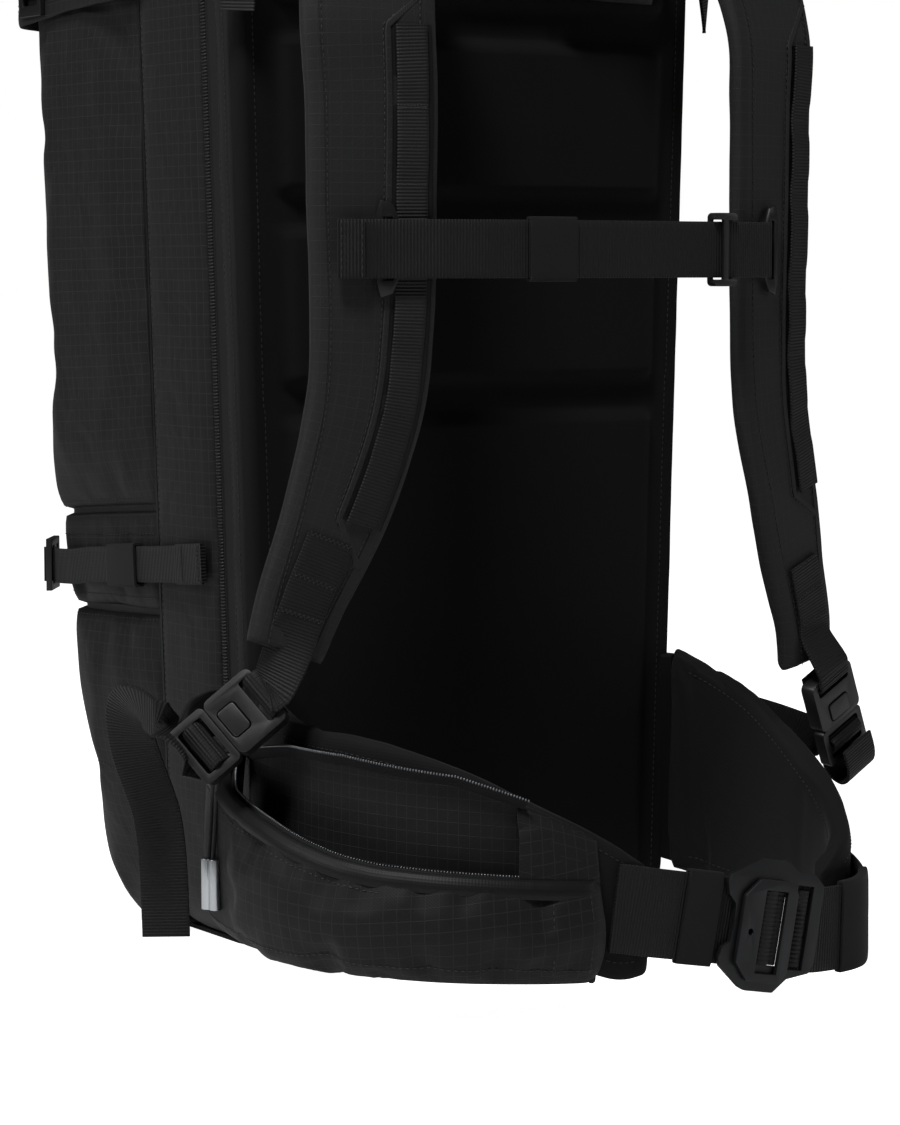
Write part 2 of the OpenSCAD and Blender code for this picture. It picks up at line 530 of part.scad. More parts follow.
// A shell whose sections are all open between their second and third points.
module trough(outer, inner) {
  n = len(outer[0]);
  m = len(outer) - 1;
  out = function(i, j) i * n + j % n;
  in = function(i, j) (m + 1 + i) * n + j % n;
  walls = [for (i = [0:m - 1]) for (j = [0:n - 1]) if (j != 1) [i, j]];
  polyhedron(concat(flat(outer), flat(inner)), concat(
    [[for (j = [0:n - 1]) out(0, j)], [for (j = [n - 1:-1:0]) out(m, j)]],
    [[for (j = [n - 1:-1:0]) in(0, j)], [for (j = [0:n - 1]) in(m, j)]],
    [for (w = walls) [out(w[0], w[1]), out(w[0] + 1, w[1]), out(w[0] + 1, w[1] + 1)]],
    [for (w = walls) [out(w[0], w[1]), out(w[0] + 1, w[1] + 1), out(w[0], w[1] + 1)]],
    [for (w = walls) [in(w[0], w[1]), in(w[0] + 1, w[1] + 1), in(w[0] + 1, w[1])]],
    [for (w = walls) [in(w[0], w[1]), in(w[0], w[1] + 1), in(w[0] + 1, w[1] + 1)]],
    [for (i = [0:m - 1]) [out(i, 1), out(i + 1, 1), in(i + 1, 1)]],
    [for (i = [0:m - 1]) [out(i, 1), in(i + 1, 1), in(i, 1)]],
    [for (i = [0:m - 1]) [out(i + 1, 2), out(i, 2), in(i, 2)]],
    [for (i = [0:m - 1]) [out(i + 1, 2), in(i, 2), in(i + 1, 2)]],
    [[out(0, 2), out(0, 1), in(0, 1)], [out(0, 2), in(0, 1), in(0, 2)]],
    [[out(m, 1), out(m, 2), in(m, 2)], [out(m, 1), in(m, 2), in(m, 1)]]));
}
module hip_pocket() color("#232324") from_back() trough(pocket_sections(0), pocket_sections(fabric));

// The pocket's two zip tapes stand on its rim, one on the wing's side and one outside.
module zip_run(first, last, off, rise) strip([for (k = [first:last])
  let (f = wing_frames[k], p = f[0] + f[2] * off(k))
  [[p[0], p[1], rise(k) + 4.4], [0, 0, 1], f[2], 6, f[4]]], 1.6, 0, 0.3);
module hip_pocket_zip() color("#2b2b2c") from_back() {
  zip_run(3, pocket_last - 1, function(k) pocket_in + 1, function(k) pocket_back(k));
  zip_run(3, pocket_last - 1, function(k) lip_out(k) - 4, function(k) pocket_lip(k) + 1);
}
slider_p = [-159.4, -20, 120];
module pocket_slider() color("#2a2a2c") from_back() translate(slider_p) difference() {
  translate([-5, -4, -1.5]) cube([10, 8, 4]);
  translate([-6, -2.5, 0]) cube([4, 5, 1.4]);
}
// The cord's two strands lie side by side as one flat strip, over the edge of the pocket.
puller_p = [-186.5, -38];
module pocket_cord() color("#151516") from_back()
  strip(frames([for (p = [[-166.6, -22, 121.5], [-173, -24, 121.5], [-178.6, -27, 118.5],
      [-182.4, -30.5, 110], [-185.2, -35, 92], [puller_p[0], puller_p[1], 70.4]])
    [p[0], p[1], p[2], 5.2, 0.3, -0.95, 0]]), 2.6, 0, 0.8);
module pocket_puller() color("#b9bcc0") from_back() translate([puller_p[0], puller_p[1], 44])
  rotate([0, 0, 110]) linear_extrude(26) {
    translate([-2.6, 0]) circle(r = 3);
    translate([2.6, 0]) circle(r = 3);
    translate([-2.6, -2]) square([5.2, 4]);
  }

// The front of the belt lies along a line that drops to the wearer's left.
hip_lean = 11;
hip_c = [41, -201, 38];
hip_u = [cos(hip_lean), 0, -sin(hip_lean)];
hip_v = [sin(hip_lean), 0, cos(hip_lean)];
module at_hip_front() from_back() placed(hip_c, hip_u, hip_v) children();
function hip_line(s, n) = hip_c + s * hip_u + [0, -n, 0];

module left_hip_webbing() color("#2e2e2f") {
  a = hip_line(-74, -2.3);
  b = hip_line(-6, -2.3);
  from_back() strip(frames(concat(
    smooth([concat([-50, -196, 55.6, hip_w], hip_v), concat([-42, -197.3, 54.4, hip_w], hip_v),
      concat(a, [hip_w], hip_v)], 2), [concat(b, [hip_w], hip_v)])), webbing, 0, 0.3);
}
right_hip_rows = [
  concat(hip_line(18, -2.3), [hip_w], hip_v), concat(hip_line(38, -3.5), [hip_w], hip_v),
  [112, -189, 30, hip_w, 0, 0, 1], [140, -159, 30, hip_w, 0, 0, 1],
  [157, -122, 34, hip_w, 0, 0, 1], [164, -86, 40, hip_w - 2, 0, 0, 1]];
right_hip_frames = frames(smooth(right_hip_rows, 4));
module right_hip_webbing() color("#2e2e2f") from_back() strip(right_hip_frames, webbing, 0, 0.3);
module right_hip_keeper() color("#262627") from_back()
  sleeve(part_of(right_hip_frames, 6, 11), hip_w + 0.8, webbing + 0.8);
module left_hip_keeper() color("#262627") at_hip_front()
  translate([-52, -hip_w / 2 - 2, -5.2]) difference() {
    cube([21, hip_w + 4, 4.8]);
    translate([-1, 1.5, 1.5]) cube([23, hip_w + 1, webbing + 0.8]);
  }

module hip_buckle_frame() color("#3a3b3d") at_hip_front() linear_extrude(2.6) difference() {
  offset(r = 2) offset(r = -2) polygon([[-10, 33.5], [7, 33.5], [15, 28.5], [26, 28], [32.5, 23],
    [33.5, -16], [31, -22], [17, -26], [9, -33.5], [-9, -33.5], [-13, -32], [-27, -22.5],
    [-29, -18.5], [-27.5, -13], [-23, -10], [-22, 0], [-23, 9.5], [-28, 14], [-29.5, 19], [-28, 24]]);
  polygon([[15.5, -21], [26, -21], [26, 22], [15.5, 22]]);
  polygon([[-17, -20], [11, -20], [11, 21], [-10, 21], [-17, 14]]);
}
module hip_buckle_hook() color("#3f4042") at_hip_front() translate([0, 0, 3.4]) linear_extrude(2.6) difference() {
  offset(r = 2) offset(r = -2) polygon([[-11, 23.5], [6, 23.5], [12, 21], [14, 17], [14, -22],
    [10, -28.5], [-11, -28.5], [-20, -19.5], [-20, 14.5]]);
  polygon([[-7, -24], [7, -24], [7, 18], [-7, 18]]);
  translate([-13.5, -3.5]) scale(1) circle(r = 1.6);
}

// ---------- compression straps ----------

comp_z = 197;
corner_x = half_w(comp_z) - 18;
corner_y = bag_depth - 33;
hook_p = [-corner_x - 21, corner_y + 20, comp_z];
hook_d = unit([0.6, 0.8, 0]);
module left_compression_strap() {
  x = -half_w(comp_z) - 5;
  in_hook = function(along, off) hook_p + along * hook_d + off * cross(hook_d, [0, 0, 1]);
  strut([[x, 48, comp_z + 14], [x, 110, comp_z + 9], [x, 178, comp_z + 4], [x - 1, 200, comp_z + 1],
    in_hook(-14, 7.5), in_hook(-7.5, 5.6), in_hook(-4, 4.4), in_hook(-3.3, 1.5),
    in_hook(-3.3, -2.2)], 20, webbing);
}
module left_compression_hook() placed(hook_p, hook_d, [0, 0, 1]) difference() {
  translate([-10, -15, 0]) cube([26, 30, 3.4]);
  translate([-6, -11, -1]) cube([5, 22, 6]);
  translate([6, -11, -1]) cube([5, 22, 6]);
}
module compression_straps() color("#2e2e2f") from_back() {
  left_compression_strap();
  other_side() left_compression_strap();
}
module compression_hooks() color("#3a3a3c") from_back() {
  left_compression_hook();
  other_side() left_compression_hook();
}
module front_webbing() color("#2e2e2f") from_back() {
  y = bag_depth - 8;
  strut([[-corner_x + 2, y - 1, comp_z], [-corner_x + 20, y, comp_z], [0, y, comp_z],
    [corner_x - 20, y, comp_z], [corner_x - 2, y - 1, comp_z]], 20, webbing);
}

base_panel();
main_shell();
front_pocket();
waist_band();
lower_pocket();
panel_gusset();
main_zip_tape();
bottom_fold();
back_panel();
frame_sheet();
aluminium_stays();
top_lid();
lid_hooks();
airbag();
gas_cylinder();
valve_head();
firing_pin();
inflator_hose();
trigger_cable();
trigger_holder();
trigger_handle();
left_main_slider();
other_side() left_main_slider();  // right_main_slider
haul_loop();
left_shoulder_strap();
right_shoulder_strap();
left_daisy_chain();
other_side() left_daisy_chain();  // right_daisy_chain
left_lower_webbing();
right_lower_webbing();
left_buckle_body();
right_buckle_body();
left_buckle_tongue();
right_buckle_tongue();
left_buckle_latch();
right_buckle_latch();
left_adjuster_webbing();
right_adjuster_webbing();
load_lifters();
sternum_webbing();
sternum_hooks();
sternum_adjuster();
sternum_keeper();
left_hip_wing();
right_hip_wing();
hip_pocket();
hip_pocket_zip();
pocket_slider();
pocket_cord();
pocket_puller();
left_hip_webbing();
right_hip_webbing();
hip_buckle_frame();
hip_buckle_hook();
left_hip_keeper();
right_hip_keeper();
compression_straps();
compression_hooks();
front_webbing();
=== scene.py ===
"""Avalanche airbag backpack, seen from the wearer's side.

Lengths are millimetres, and y is measured from the face of the back panel, until
metres() turns them into the frame's own metres. The sizes are those of the CAD part.
"""
import json
import math
from collections import namedtuple

import bmesh
import bpy
import numpy as np
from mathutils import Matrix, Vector, noise
from mathutils.bvhtree import BVHTree


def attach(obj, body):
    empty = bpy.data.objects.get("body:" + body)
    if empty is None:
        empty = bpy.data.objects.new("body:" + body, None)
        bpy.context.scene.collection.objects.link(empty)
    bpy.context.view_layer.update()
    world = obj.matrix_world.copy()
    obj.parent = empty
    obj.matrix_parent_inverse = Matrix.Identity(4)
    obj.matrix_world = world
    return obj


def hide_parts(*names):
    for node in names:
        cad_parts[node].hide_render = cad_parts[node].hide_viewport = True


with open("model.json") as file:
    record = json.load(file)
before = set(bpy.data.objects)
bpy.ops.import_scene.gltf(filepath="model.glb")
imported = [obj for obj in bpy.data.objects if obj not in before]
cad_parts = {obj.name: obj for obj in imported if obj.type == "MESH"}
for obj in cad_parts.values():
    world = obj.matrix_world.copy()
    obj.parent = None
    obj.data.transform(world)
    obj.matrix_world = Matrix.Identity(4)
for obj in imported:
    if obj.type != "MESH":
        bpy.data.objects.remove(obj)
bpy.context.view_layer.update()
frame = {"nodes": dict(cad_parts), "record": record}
scene = bpy.context.scene
BODY_OF = {n: body for body, members in frame["record"]["behaviour"]["bodies"].items()
           for n in members}

MM = 0.001
BACK_Y = -100.0
UV_NAME = "surface_mm"


def metres(points):
    """Millimetres from the back panel's face to metres in the frame."""
    return (np.asarray(points, float) + (0.0, BACK_Y, 0.0)) * MM


# ---------- camera ----------

CAMERA_PLACE = (-0.997, -1.579, 0.369)
CAMERA_TURN = math.radians(33.55)
CAMERA_DROP = math.radians(5.15)

camera_data = bpy.data.cameras.new("camera")
camera_data.lens = 105.6
camera_data.sensor_width = 36.0
camera = bpy.data.objects.new("camera", camera_data)
scene.collection.objects.link(camera)
camera.location = CAMERA_PLACE
looking = Vector((math.sin(CAMERA_TURN) * math.cos(CAMERA_DROP),
                  math.cos(CAMERA_TURN) * math.cos(CAMERA_DROP), -math.sin(CAMERA_DROP)))
camera.rotation_mode = "QUATERNION"
camera.rotation_quaternion = looking.to_track_quat("-Z", "Y")
scene.camera = camera


# ---------- finishes ----------

def hex_colour(code):
    """sRGB hex to linear RGBA."""
    parts = [int(code[i:i + 2], 16) / 255 for i in (1, 3, 5)]
    return (*[p / 12.92 if p <= 0.04045 else ((p + 0.055) / 1.055) ** 2.4 for p in parts], 1.0)


def add(tree, kind, inputs=None, **settings):
    """One node with its settings; an input is a value or the socket it comes from."""
    made = tree.nodes.new(kind)
    for name, value in settings.items():
        setattr(made, name, value)
    for key, value in (inputs or {}).items():
        if isinstance(value, bpy.types.NodeSocket):
            tree.links.new(value, made.inputs[key])
        else:
            made.inputs[key].default_value = value
    return made


def new_finish(name, roughness, **constants):
    """A material with an empty tree, its shader and output."""
    made = bpy.data.materials.new(name)
    made.use_nodes = True
    tree = made.node_tree
    tree.nodes.clear()
    shader = add(tree, "ShaderNodeBsdfPrincipled", {"Roughness": roughness, **constants})
    add(tree, "ShaderNodeOutputMaterial", {"Surface": shader.outputs[0]})
    return made, tree, shader


def textile(name, dark, light, roughness, sheen, ribs=(), grid=None, grain=0.0, mottle=45.0,
            folds=0.0):
    """A cloth. ribs are (axis, spacing mm, height mm); grid is (spacing mm, width mm, height mm).
    grain is the height of a random nap, and folds the height of small soft creases."""
    made, tree, shader = new_finish(name, roughness, **{
        "Sheen Weight": sheen, "Sheen Roughness": 0.45, "Specular IOR Level": 0.22})
    uv = add(tree, "ShaderNodeUVMap", uv_map=UV_NAME).outputs[0]
    axes = add(tree, "ShaderNodeSeparateXYZ", {0: uv})
    height = add(tree, "ShaderNodeMath", {0: 0.0, 1: 0.0}, operation="ADD").outputs[0]
    pick = {"u": axes.outputs[0], "v": axes.outputs[1]}
    pick["twill"] = add(tree, "ShaderNodeMath", {0: pick["u"], 1: pick["v"]},
                        operation="ADD").outputs[0]
    for axis, spacing, rise in ribs:
        turns = add(tree, "ShaderNodeMath", {0: pick[axis], 1: 2 * math.pi / spacing},
                    operation="MULTIPLY")
        wave = add(tree, "ShaderNodeMath", {0: turns.outputs[0]}, operation="SINE")
        height = add(tree, "ShaderNodeMath", {0: wave.outputs[0], 1: rise / 2, 2: height},
                     operation="MULTIPLY_ADD").outputs[0]
    patches = add(tree, "ShaderNodeTexNoise", {
        "Vector": uv, "Scale": 1 / mottle, "Detail": 4.0, "Roughness": 0.6})
    tone = add(tree, "ShaderNodeMix", {
        "Factor": patches.outputs[0], 6: hex_colour(dark), 7: hex_colour(light)}, data_type="RGBA")
    colour = tone.outputs[2]
    if grid:
        spacing, width, rise = grid
        lines = []
        for axis in "uv":
            away = add(tree, "ShaderNodeMath", {0: pick[axis], 1: spacing / 2},
                       operation="PINGPONG")
            lines.append(add(tree, "ShaderNodeMapRange", {
                "Value": away.outputs[0], "From Min": width * 0.35, "From Max": width * 0.75,
                "To Min": 1.0, "To Max": 0.0}, interpolation_type="SMOOTHSTEP").outputs[0])
        line = add(tree, "ShaderNodeMath", {0: lines[0], 1: lines[1]},
                   operation="MAXIMUM").outputs[0]
        height = add(tree, "ShaderNodeMath", {0: line, 1: rise, 2: height},
                     operation="MULTIPLY_ADD").outputs[0]
        faint = add(tree, "ShaderNodeMath", {0: line, 1: 0.55}, operation="MULTIPLY")
        colour = add(tree, "ShaderNodeMix", {
            "Factor": faint.outputs[0], 6: colour, 7: hex_colour(GRID_THREAD)},
            data_type="RGBA").outputs[2]
    if grain:
        nap = add(tree, "ShaderNodeTexNoise", {"Vector": uv, "Scale": 1 / 1.3, "Detail": 2.0})
        height = add(tree, "ShaderNodeMath", {0: nap.outputs[0], 1: grain, 2: height},
                     operation="MULTIPLY_ADD").outputs[0]
    if folds:
        crease = add(tree, "ShaderNodeTexNoise", {
            "Vector": uv, "Scale": 1 / 34, "Detail": 1.5, "Distortion": 1.2})
        height = add(tree, "ShaderNodeMath", {0: crease.outputs[0], 1: folds, 2: height},
                     operation="MULTIPLY_ADD").outputs[0]
    bump = add(tree, "ShaderNodeBump", {"Height": height, "Distance": MM, "Strength": 1.0})
    tree.links.new(colour, shader.inputs["Base Color"])
    tree.links.new(bump.outputs[0], shader.inputs["Normal"])
    return made


def hard_finish(name, dark, light, roughness, spread, metallic=0.0, grain_mm=1.2, grain=0.02,
                brushed=None, **constants):
    """Moulded plastic, metal or rubber, on Object coordinates. Worn edges are lighter."""
    made, tree, shader = new_finish(name, roughness, Metallic=metallic, **constants)
    place = add(tree, "ShaderNodeTexCoord").outputs["Object"]
    if brushed:
        place = add(tree, "ShaderNodeMapping", {"Vector": place, "Scale": brushed}).outputs[0]
    fine = add(tree, "ShaderNodeTexNoise", {
        "Vector": place, "Scale": 1 / (grain_mm * MM), "Detail": 3.0})
    broad = add(tree, "ShaderNodeTexNoise", {
        "Vector": place, "Scale": 1 / (14 * MM), "Detail": 3.0})
    edge = add(tree, "ShaderNodeMapRange", {
        "Value": add(tree, "ShaderNodeNewGeometry").outputs["Pointiness"],
        "From Min": 0.52, "From Max": 0.62, "To Min": 0.0, "To Max": 0.6})
    share = add(tree, "ShaderNodeMath", {0: broad.outputs[0], 1: edge.outputs[0]},
                operation="ADD", use_clamp=True)
    tone = add(tree, "ShaderNodeMix", {
        "Factor": share.outputs[0], 6: hex_colour(dark), 7: hex_colour(light)}, data_type="RGBA")
    gloss = add(tree, "ShaderNodeMapRange", {
        "Value": fine.outputs[0], "To Min": roughness - spread, "To Max": roughness + spread})
    bump = add(tree, "ShaderNodeBump", {
        "Height": fine.outputs[0], "Distance": grain * MM, "Strength": 1.0})
    tree.links.new(tone.outputs[2], shader.inputs["Base Color"])
    tree.links.new(gloss.outputs[0], shader.inputs["Roughness"])
    tree.links.new(bump.outputs[0], shader.inputs["Normal"])
    return made


GRID_THREAD = "#262627"
# Ripstop nylon 6.6, plain woven: a matt cloth with a thicker thread about every 6 mm.
# The thread spacing is finer than shows, so the twill is drawn at 1.5 mm.
RIPSTOP = textile("ripstop_nylon_woven", "#0b0b0c", "#111112", 0.62, 0.03,
                  ribs=[("twill", 1.5, 0.05)], grid=(6.0, 0.35, 0.07), folds=1.2)
# The same ripstop laminated over foam on the straps: flatter. Its paler colour is painted light,
# for the light that falls on the straps' faces.
LIT_STRAP_RIPSTOP = textile("ripstop_nylon_laminated_painted_light", "#171718", "#1d1d1e", 0.6, 0.03,
                        ribs=[("twill", 1.5, 0.06)], grid=(5.6, 0.35, 0.07), folds=0.25)
# Polyurethane-coated nylon: the same cloth with its coating outwards, smoother.
COATED = textile("coated_nylon_calendered", "#0b0b0c", "#0f0f10", 0.5, 0.02,
                 ribs=[("u", 1.6, 0.03), ("v", 1.6, 0.03)], folds=0.6)
# Brushed polyester over moulded foam: a short nap that swallows light.
FOAM_CLOTH = textile("foam_cover_brushed", "#030303", "#060606", 0.95, 0.01, grain=0.14, folds=0.2)
# Knitted stretch lining, folded round the straps' edges as a binding.
BINDING = textile("lining_knit", "#0a0a0b", "#0f0f10", 0.85, 0.03,
                  ribs=[("u", 1.5, 0.04)], grain=0.08)
# Polyester webbing, woven with ribs across its length. Real ribs are 1.1 mm apart.
WEBBING = textile("webbing_woven", "#0d0d0e", "#151516", 0.6, 0.03,
                  ribs=[("v", 1.7, 0.42), ("u", 1.7, 0.06)], mottle=20)
# The same webbing in a weave whose ribs run along it.
RIB_WEBBING = textile("webbing_ribbed_lengthwise", "#101011", "#181819", 0.6, 0.03,
                      ribs=[("u", 2.2, 0.4)], mottle=20)
# Knitted elastic tape of the keepers: flat and dull.
ELASTIC = textile("elastic_knit", "#121213", "#19191a", 0.88, 0.04, grain=0.16)
# Woven polyester zip tape, herringbone.
ZIP_TAPE = textile("zip_tape_woven", "#0e0e0f", "#151516", 0.7, 0.02, ribs=[("twill", 1.6, 0.08)])
# High-tenacity nylon of the airbag: thin, bright and creased.
AIRBAG_CLOTH = textile("airbag_nylon_woven", "#b8431f", "#cc5229", 0.5, 0.15,
                       ribs=[("u", 1.6, 0.04)], grid=(6.0, 0.4, 0.05), folds=2.0)
# Bonded polyester thread: slightly shiny strands.
THREAD = hard_finish("thread_bonded", "#0c0c0d", "#19191a", 0.5, 0.08)
# Polyester monofilament of the zip coils: hard and glossy.
COIL = hard_finish("zip_coil_monofilament", "#0b0b0c", "#161617", 0.4, 0.08)
# Nickel-plated teeth of the hip pocket's zip.
TEETH = hard_finish("zip_teeth_nickel", "#56585b", "#7c7e82", 0.36, 0.08, metallic=0.9)
# Acetal, injection moulded with a fine spark-eroded grain.
ACETAL = hard_finish("acetal_moulded", "#0c0c0d", "#171718", 0.42, 0.08, grain=0.03)
# Zinc alloy, black powder finish: satin, with lighter worn edges.
BLACK_METAL = hard_finish("hook_zinc_black", "#161617", "#2a2a2c", 0.38, 0.06, metallic=0.55)
# Aluminium plate, blasted and anodised dark grey: even satin sheen.
ANODISED = hard_finish("aluminium_anodised", "#1c1d1e", "#2a2b2d", 0.44, 0.05, metallic=0.6,
                       grain_mm=0.8)
# Aluminium tube, turned and brushed along its length.
BRUSHED = hard_finish("aluminium_brushed", "#a8abaf", "#c6c9cc", 0.3, 0.08, metallic=1.0,
                      brushed=(1.0, 1.0, 0.06), grain_mm=0.6)
# Extruded aluminium of the cylinder and stays.
BARE = hard_finish("aluminium_extruded", "#8f9296", "#a9acb0", 0.36, 0.08, metallic=1.0,
                   brushed=(1.0, 1.0, 0.1))
BRASS = hard_finish("brass_turned", "#a5833f", "#bb9850", 0.28, 0.06, metallic=1.0)
STEEL = hard_finish("steel_ground", "#8e9093", "#a4a6a9", 0.25, 0.05, metallic=1.0)
RUBBER = hard_finish("rubber_moulded", "#1c1c1d", "#242425", 0.7, 0.08)
SHEET = hard_finish("polyethylene_sheet", "#c9c9c4", "#d6d6d1", 0.5, 0.06)
RED_GRIP = hard_finish("grip_moulded_red", "#a8141d", "#c2222b", 0.4, 0.07)


# ---------- curves and frames ----------

Frame = namedtuple("Frame", "p across normal width along")


def unit(v):
    return np.asarray(v, float) / np.linalg.norm(v)


def mix(a, b, t):
    return a + (b - a) * t


def ease(t):
    t = np.clip(t, 0.0, 1.0)
    return t * t * (3 - 2 * t)


def smooth(rows, steps):
    """Catmull-Rom through the rows, steps points to each."""
    rows = [np.array(r, float) for r in rows]
    last = len(rows) - 1
    made = []
    for i in range(last):
        a, b, c, d = rows[max(i - 1, 0)], rows[i], rows[i + 1], rows[min(i + 2, last)]
        for k in range(steps):
            t = k / steps
            made.append(0.5 * (2 * b + (c - a) * t + (2 * a - 5 * b + 4 * c - d) * t * t
                               + (3 * b - a - 3 * c + d) * t ** 3))
    return made + [rows[last]]


def frames(rows):
    """Frames along rows of x, y, z, width and the wish for the across direction."""
    made = []
    for i, row in enumerate(rows):
        row = np.asarray(row, float)
        ahead, behind = rows[min(i + 1, len(rows) - 1)], rows[max(i - 1, 0)]
        along = unit(np.asarray(ahead[:3]) - np.asarray(behind[:3]))
        across = unit(row[4:7] - (row[4:7] @ along) * along)
        made.append(Frame(row[:3], across, np.cross(along, across), row[3], along))
    return made


def plan_frames(rows):
    """Frames whose across direction stays upright while the strip rises or falls."""
    made = []
    for i, row in enumerate(rows):
        row = np.asarray(row, float)
        step = np.asarray(rows[min(i + 1, len(rows) - 1)][:3]) - np.asarray(rows[max(i - 1, 0)][:3])
        along = unit((step[0], step[1], 0.0))
        up = np.array((0.0, 0.0, 1.0))
        made.append(Frame(row[:3], up, np.cross(along, up), row[3], along))
    return made


def flipped(list_of_frames):
    """The same frames on the other side of the pack."""
    over = np.array((-1.0, 1.0, 1.0))
    return [Frame(f.p * over, -f.across * over, f.normal * over, f.width, f.along * over)
            for f in list_of_frames]


# ---------- meshes ----------

def finish_mesh(mesh, sharp=38.0):
    """Outward faces, smooth shading, and edges kept sharp past an angle."""
    bm = bmesh.new()
    bm.from_mesh(mesh)
    bmesh.ops.recalc_face_normals(bm, faces=bm.faces)
    for face in bm.faces:
        face.smooth = True
    for edge in bm.edges:
        if len(edge.link_faces) == 2:
            edge.smooth = edge.calc_face_angle(0.0) < math.radians(sharp)
    bm.to_mesh(mesh)
    bm.free()


def loft(name, rings, wrap=True, caps=True, loop=False, sharp=38.0, zones=None):
    """A skin over rings of points, with a UV map in millimetres.
    wrap closes each ring, loop joins the last ring to the first.
    zones gives the material number of each column of faces."""
    rings = np.asarray(rings, float)
    m, n = rings.shape[:2]
    verts = metres(rings.reshape(-1, 3))
    columns = n if wrap else n - 1
    rows = m if loop else m - 1
    closed = np.concatenate([rings, rings[:, :1]], axis=1)
    sides = np.linalg.norm(np.diff(closed, axis=1), axis=2)
    around = np.concatenate([np.zeros((m, 1)), np.cumsum(sides, axis=1)], axis=1)
    around -= around[:, columns // 4:columns // 4 + 1]
    long_way = np.concatenate([rings, rings[:1]], axis=0)
    steps = np.linalg.norm(np.diff(long_way, axis=0), axis=2).mean(axis=1)
    lengthwise = np.concatenate([[0.0], np.cumsum(steps)])
    faces, uvs = [], []
    for i in range(rows):
        below, above = i, (i + 1) % m
        for j in range(columns):
            k = (j + 1) % n
            faces.append((below * n + j, above * n + j, above * n + k, below * n + k))
            start, stop = lengthwise[i:i + 2]
            uvs += [(around[below, j], start), (around[above, j], stop),
                    (around[above, j + 1], stop), (around[below, j + 1], start)]
    picks = [zones[j] for i in range(rows) for j in range(columns)] if zones else [0] * len(faces)
    if caps and wrap and not loop:
        for ring in (0, m - 1):
            faces.append(tuple(ring * n + j for j in range(n)))
            uvs += [tuple(p) for p in rings[ring][:, [0, 2]]]
            picks.append(0)
    mesh = bpy.data.meshes.new(name)
    mesh.from_pydata(verts.tolist(), [], faces)
    layer = mesh.uv_layers.new(name=UV_NAME)
    layer.data.foreach_set("uv", np.asarray(uvs, np.float32).ravel())
    mesh.polygons.foreach_set("material_index", picks)
    finish_mesh(mesh, sharp)
    made = bpy.data.objects.new(name, mesh)
    scene.collection.objects.link(made)
    return made


def bake_modifiers(obj):
    """Turns an object's modifiers into its mesh."""
    bpy.context.view_layer.update()
    evaluated = obj.evaluated_get(bpy.context.evaluated_depsgraph_get())
    made = bpy.data.meshes.new_from_object(evaluated)
    obj.modifiers.clear()
    obj.data = made
    return obj


def give(obj, materials, *nodes, body=None, slot=None):
    """Finish, body and CAD nodes of a piece."""
    obj.data.materials.clear()
    for material in materials if isinstance(materials, list) else [materials]:
        obj.data.materials.append(material)
    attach(obj, body or BODY_OF[nodes[0]])
    if nodes:
        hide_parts(*nodes)
    return obj


def eased_copy(node, material, width=0.5, segments=2, slot=None):
    """A hard CAD part with its edges rounded."""
    mesh = bpy.data.meshes.new(node + "_eased")
    bm = bmesh.new()
    source = frame["nodes"][node].data
    corners = [bm.verts.new(v.co) for v in source.vertices]
    for polygon in source.polygons:
        bm.faces.new([corners[i] for i in polygon.vertices])
    bmesh.ops.remove_doubles(bm, verts=bm.verts, dist=2e-6)
    bmesh.ops.dissolve_limit(bm, angle_limit=math.radians(1.0), verts=bm.verts, edges=bm.edges)
    bm.to_mesh(mesh)
    bm.free()
    made = bpy.data.objects.new(node + "_eased", mesh)
    scene.collection.objects.link(made)
    bevel = made.modifiers.new("eased", "BEVEL")
    bevel.width = width * MM
    bevel.segments = segments
    bevel.limit_method = "ANGLE"
    bevel.angle_limit = math.radians(35)
    bake_modifiers(made)
    finish_mesh(made.data, 32.0)
    return give(made, material, node, slot=slot)


def subdivide(obj, levels=1):
    made = obj.modifiers.new("finer", "SUBSURF")
    made.levels = levels
    made.render_levels = levels
    return bake_modifiers(obj)


def wrinkle(obj, height, size, seed, hold=None):
    """Moves the skin along its normals by soft noise. hold(point mm) is 1 where it is sewn down."""
    mesh = obj.data
    normals = [v.normal.copy() for v in mesh.vertices]
    for vertex, normal in zip(mesh.vertices, normals):
        at = vertex.co / (size * MM)
        rise = (noise.noise(at + Vector((seed, 0, 0)))
                + 0.5 * noise.noise(at * 2.1 + Vector((0, seed, 0))))
        free = 1.0 if hold is None else 1.0 - hold(vertex.co / MM - Vector((0, BACK_Y, 0)))
        vertex.co += normal * rise * height * MM * free
    mesh.update()


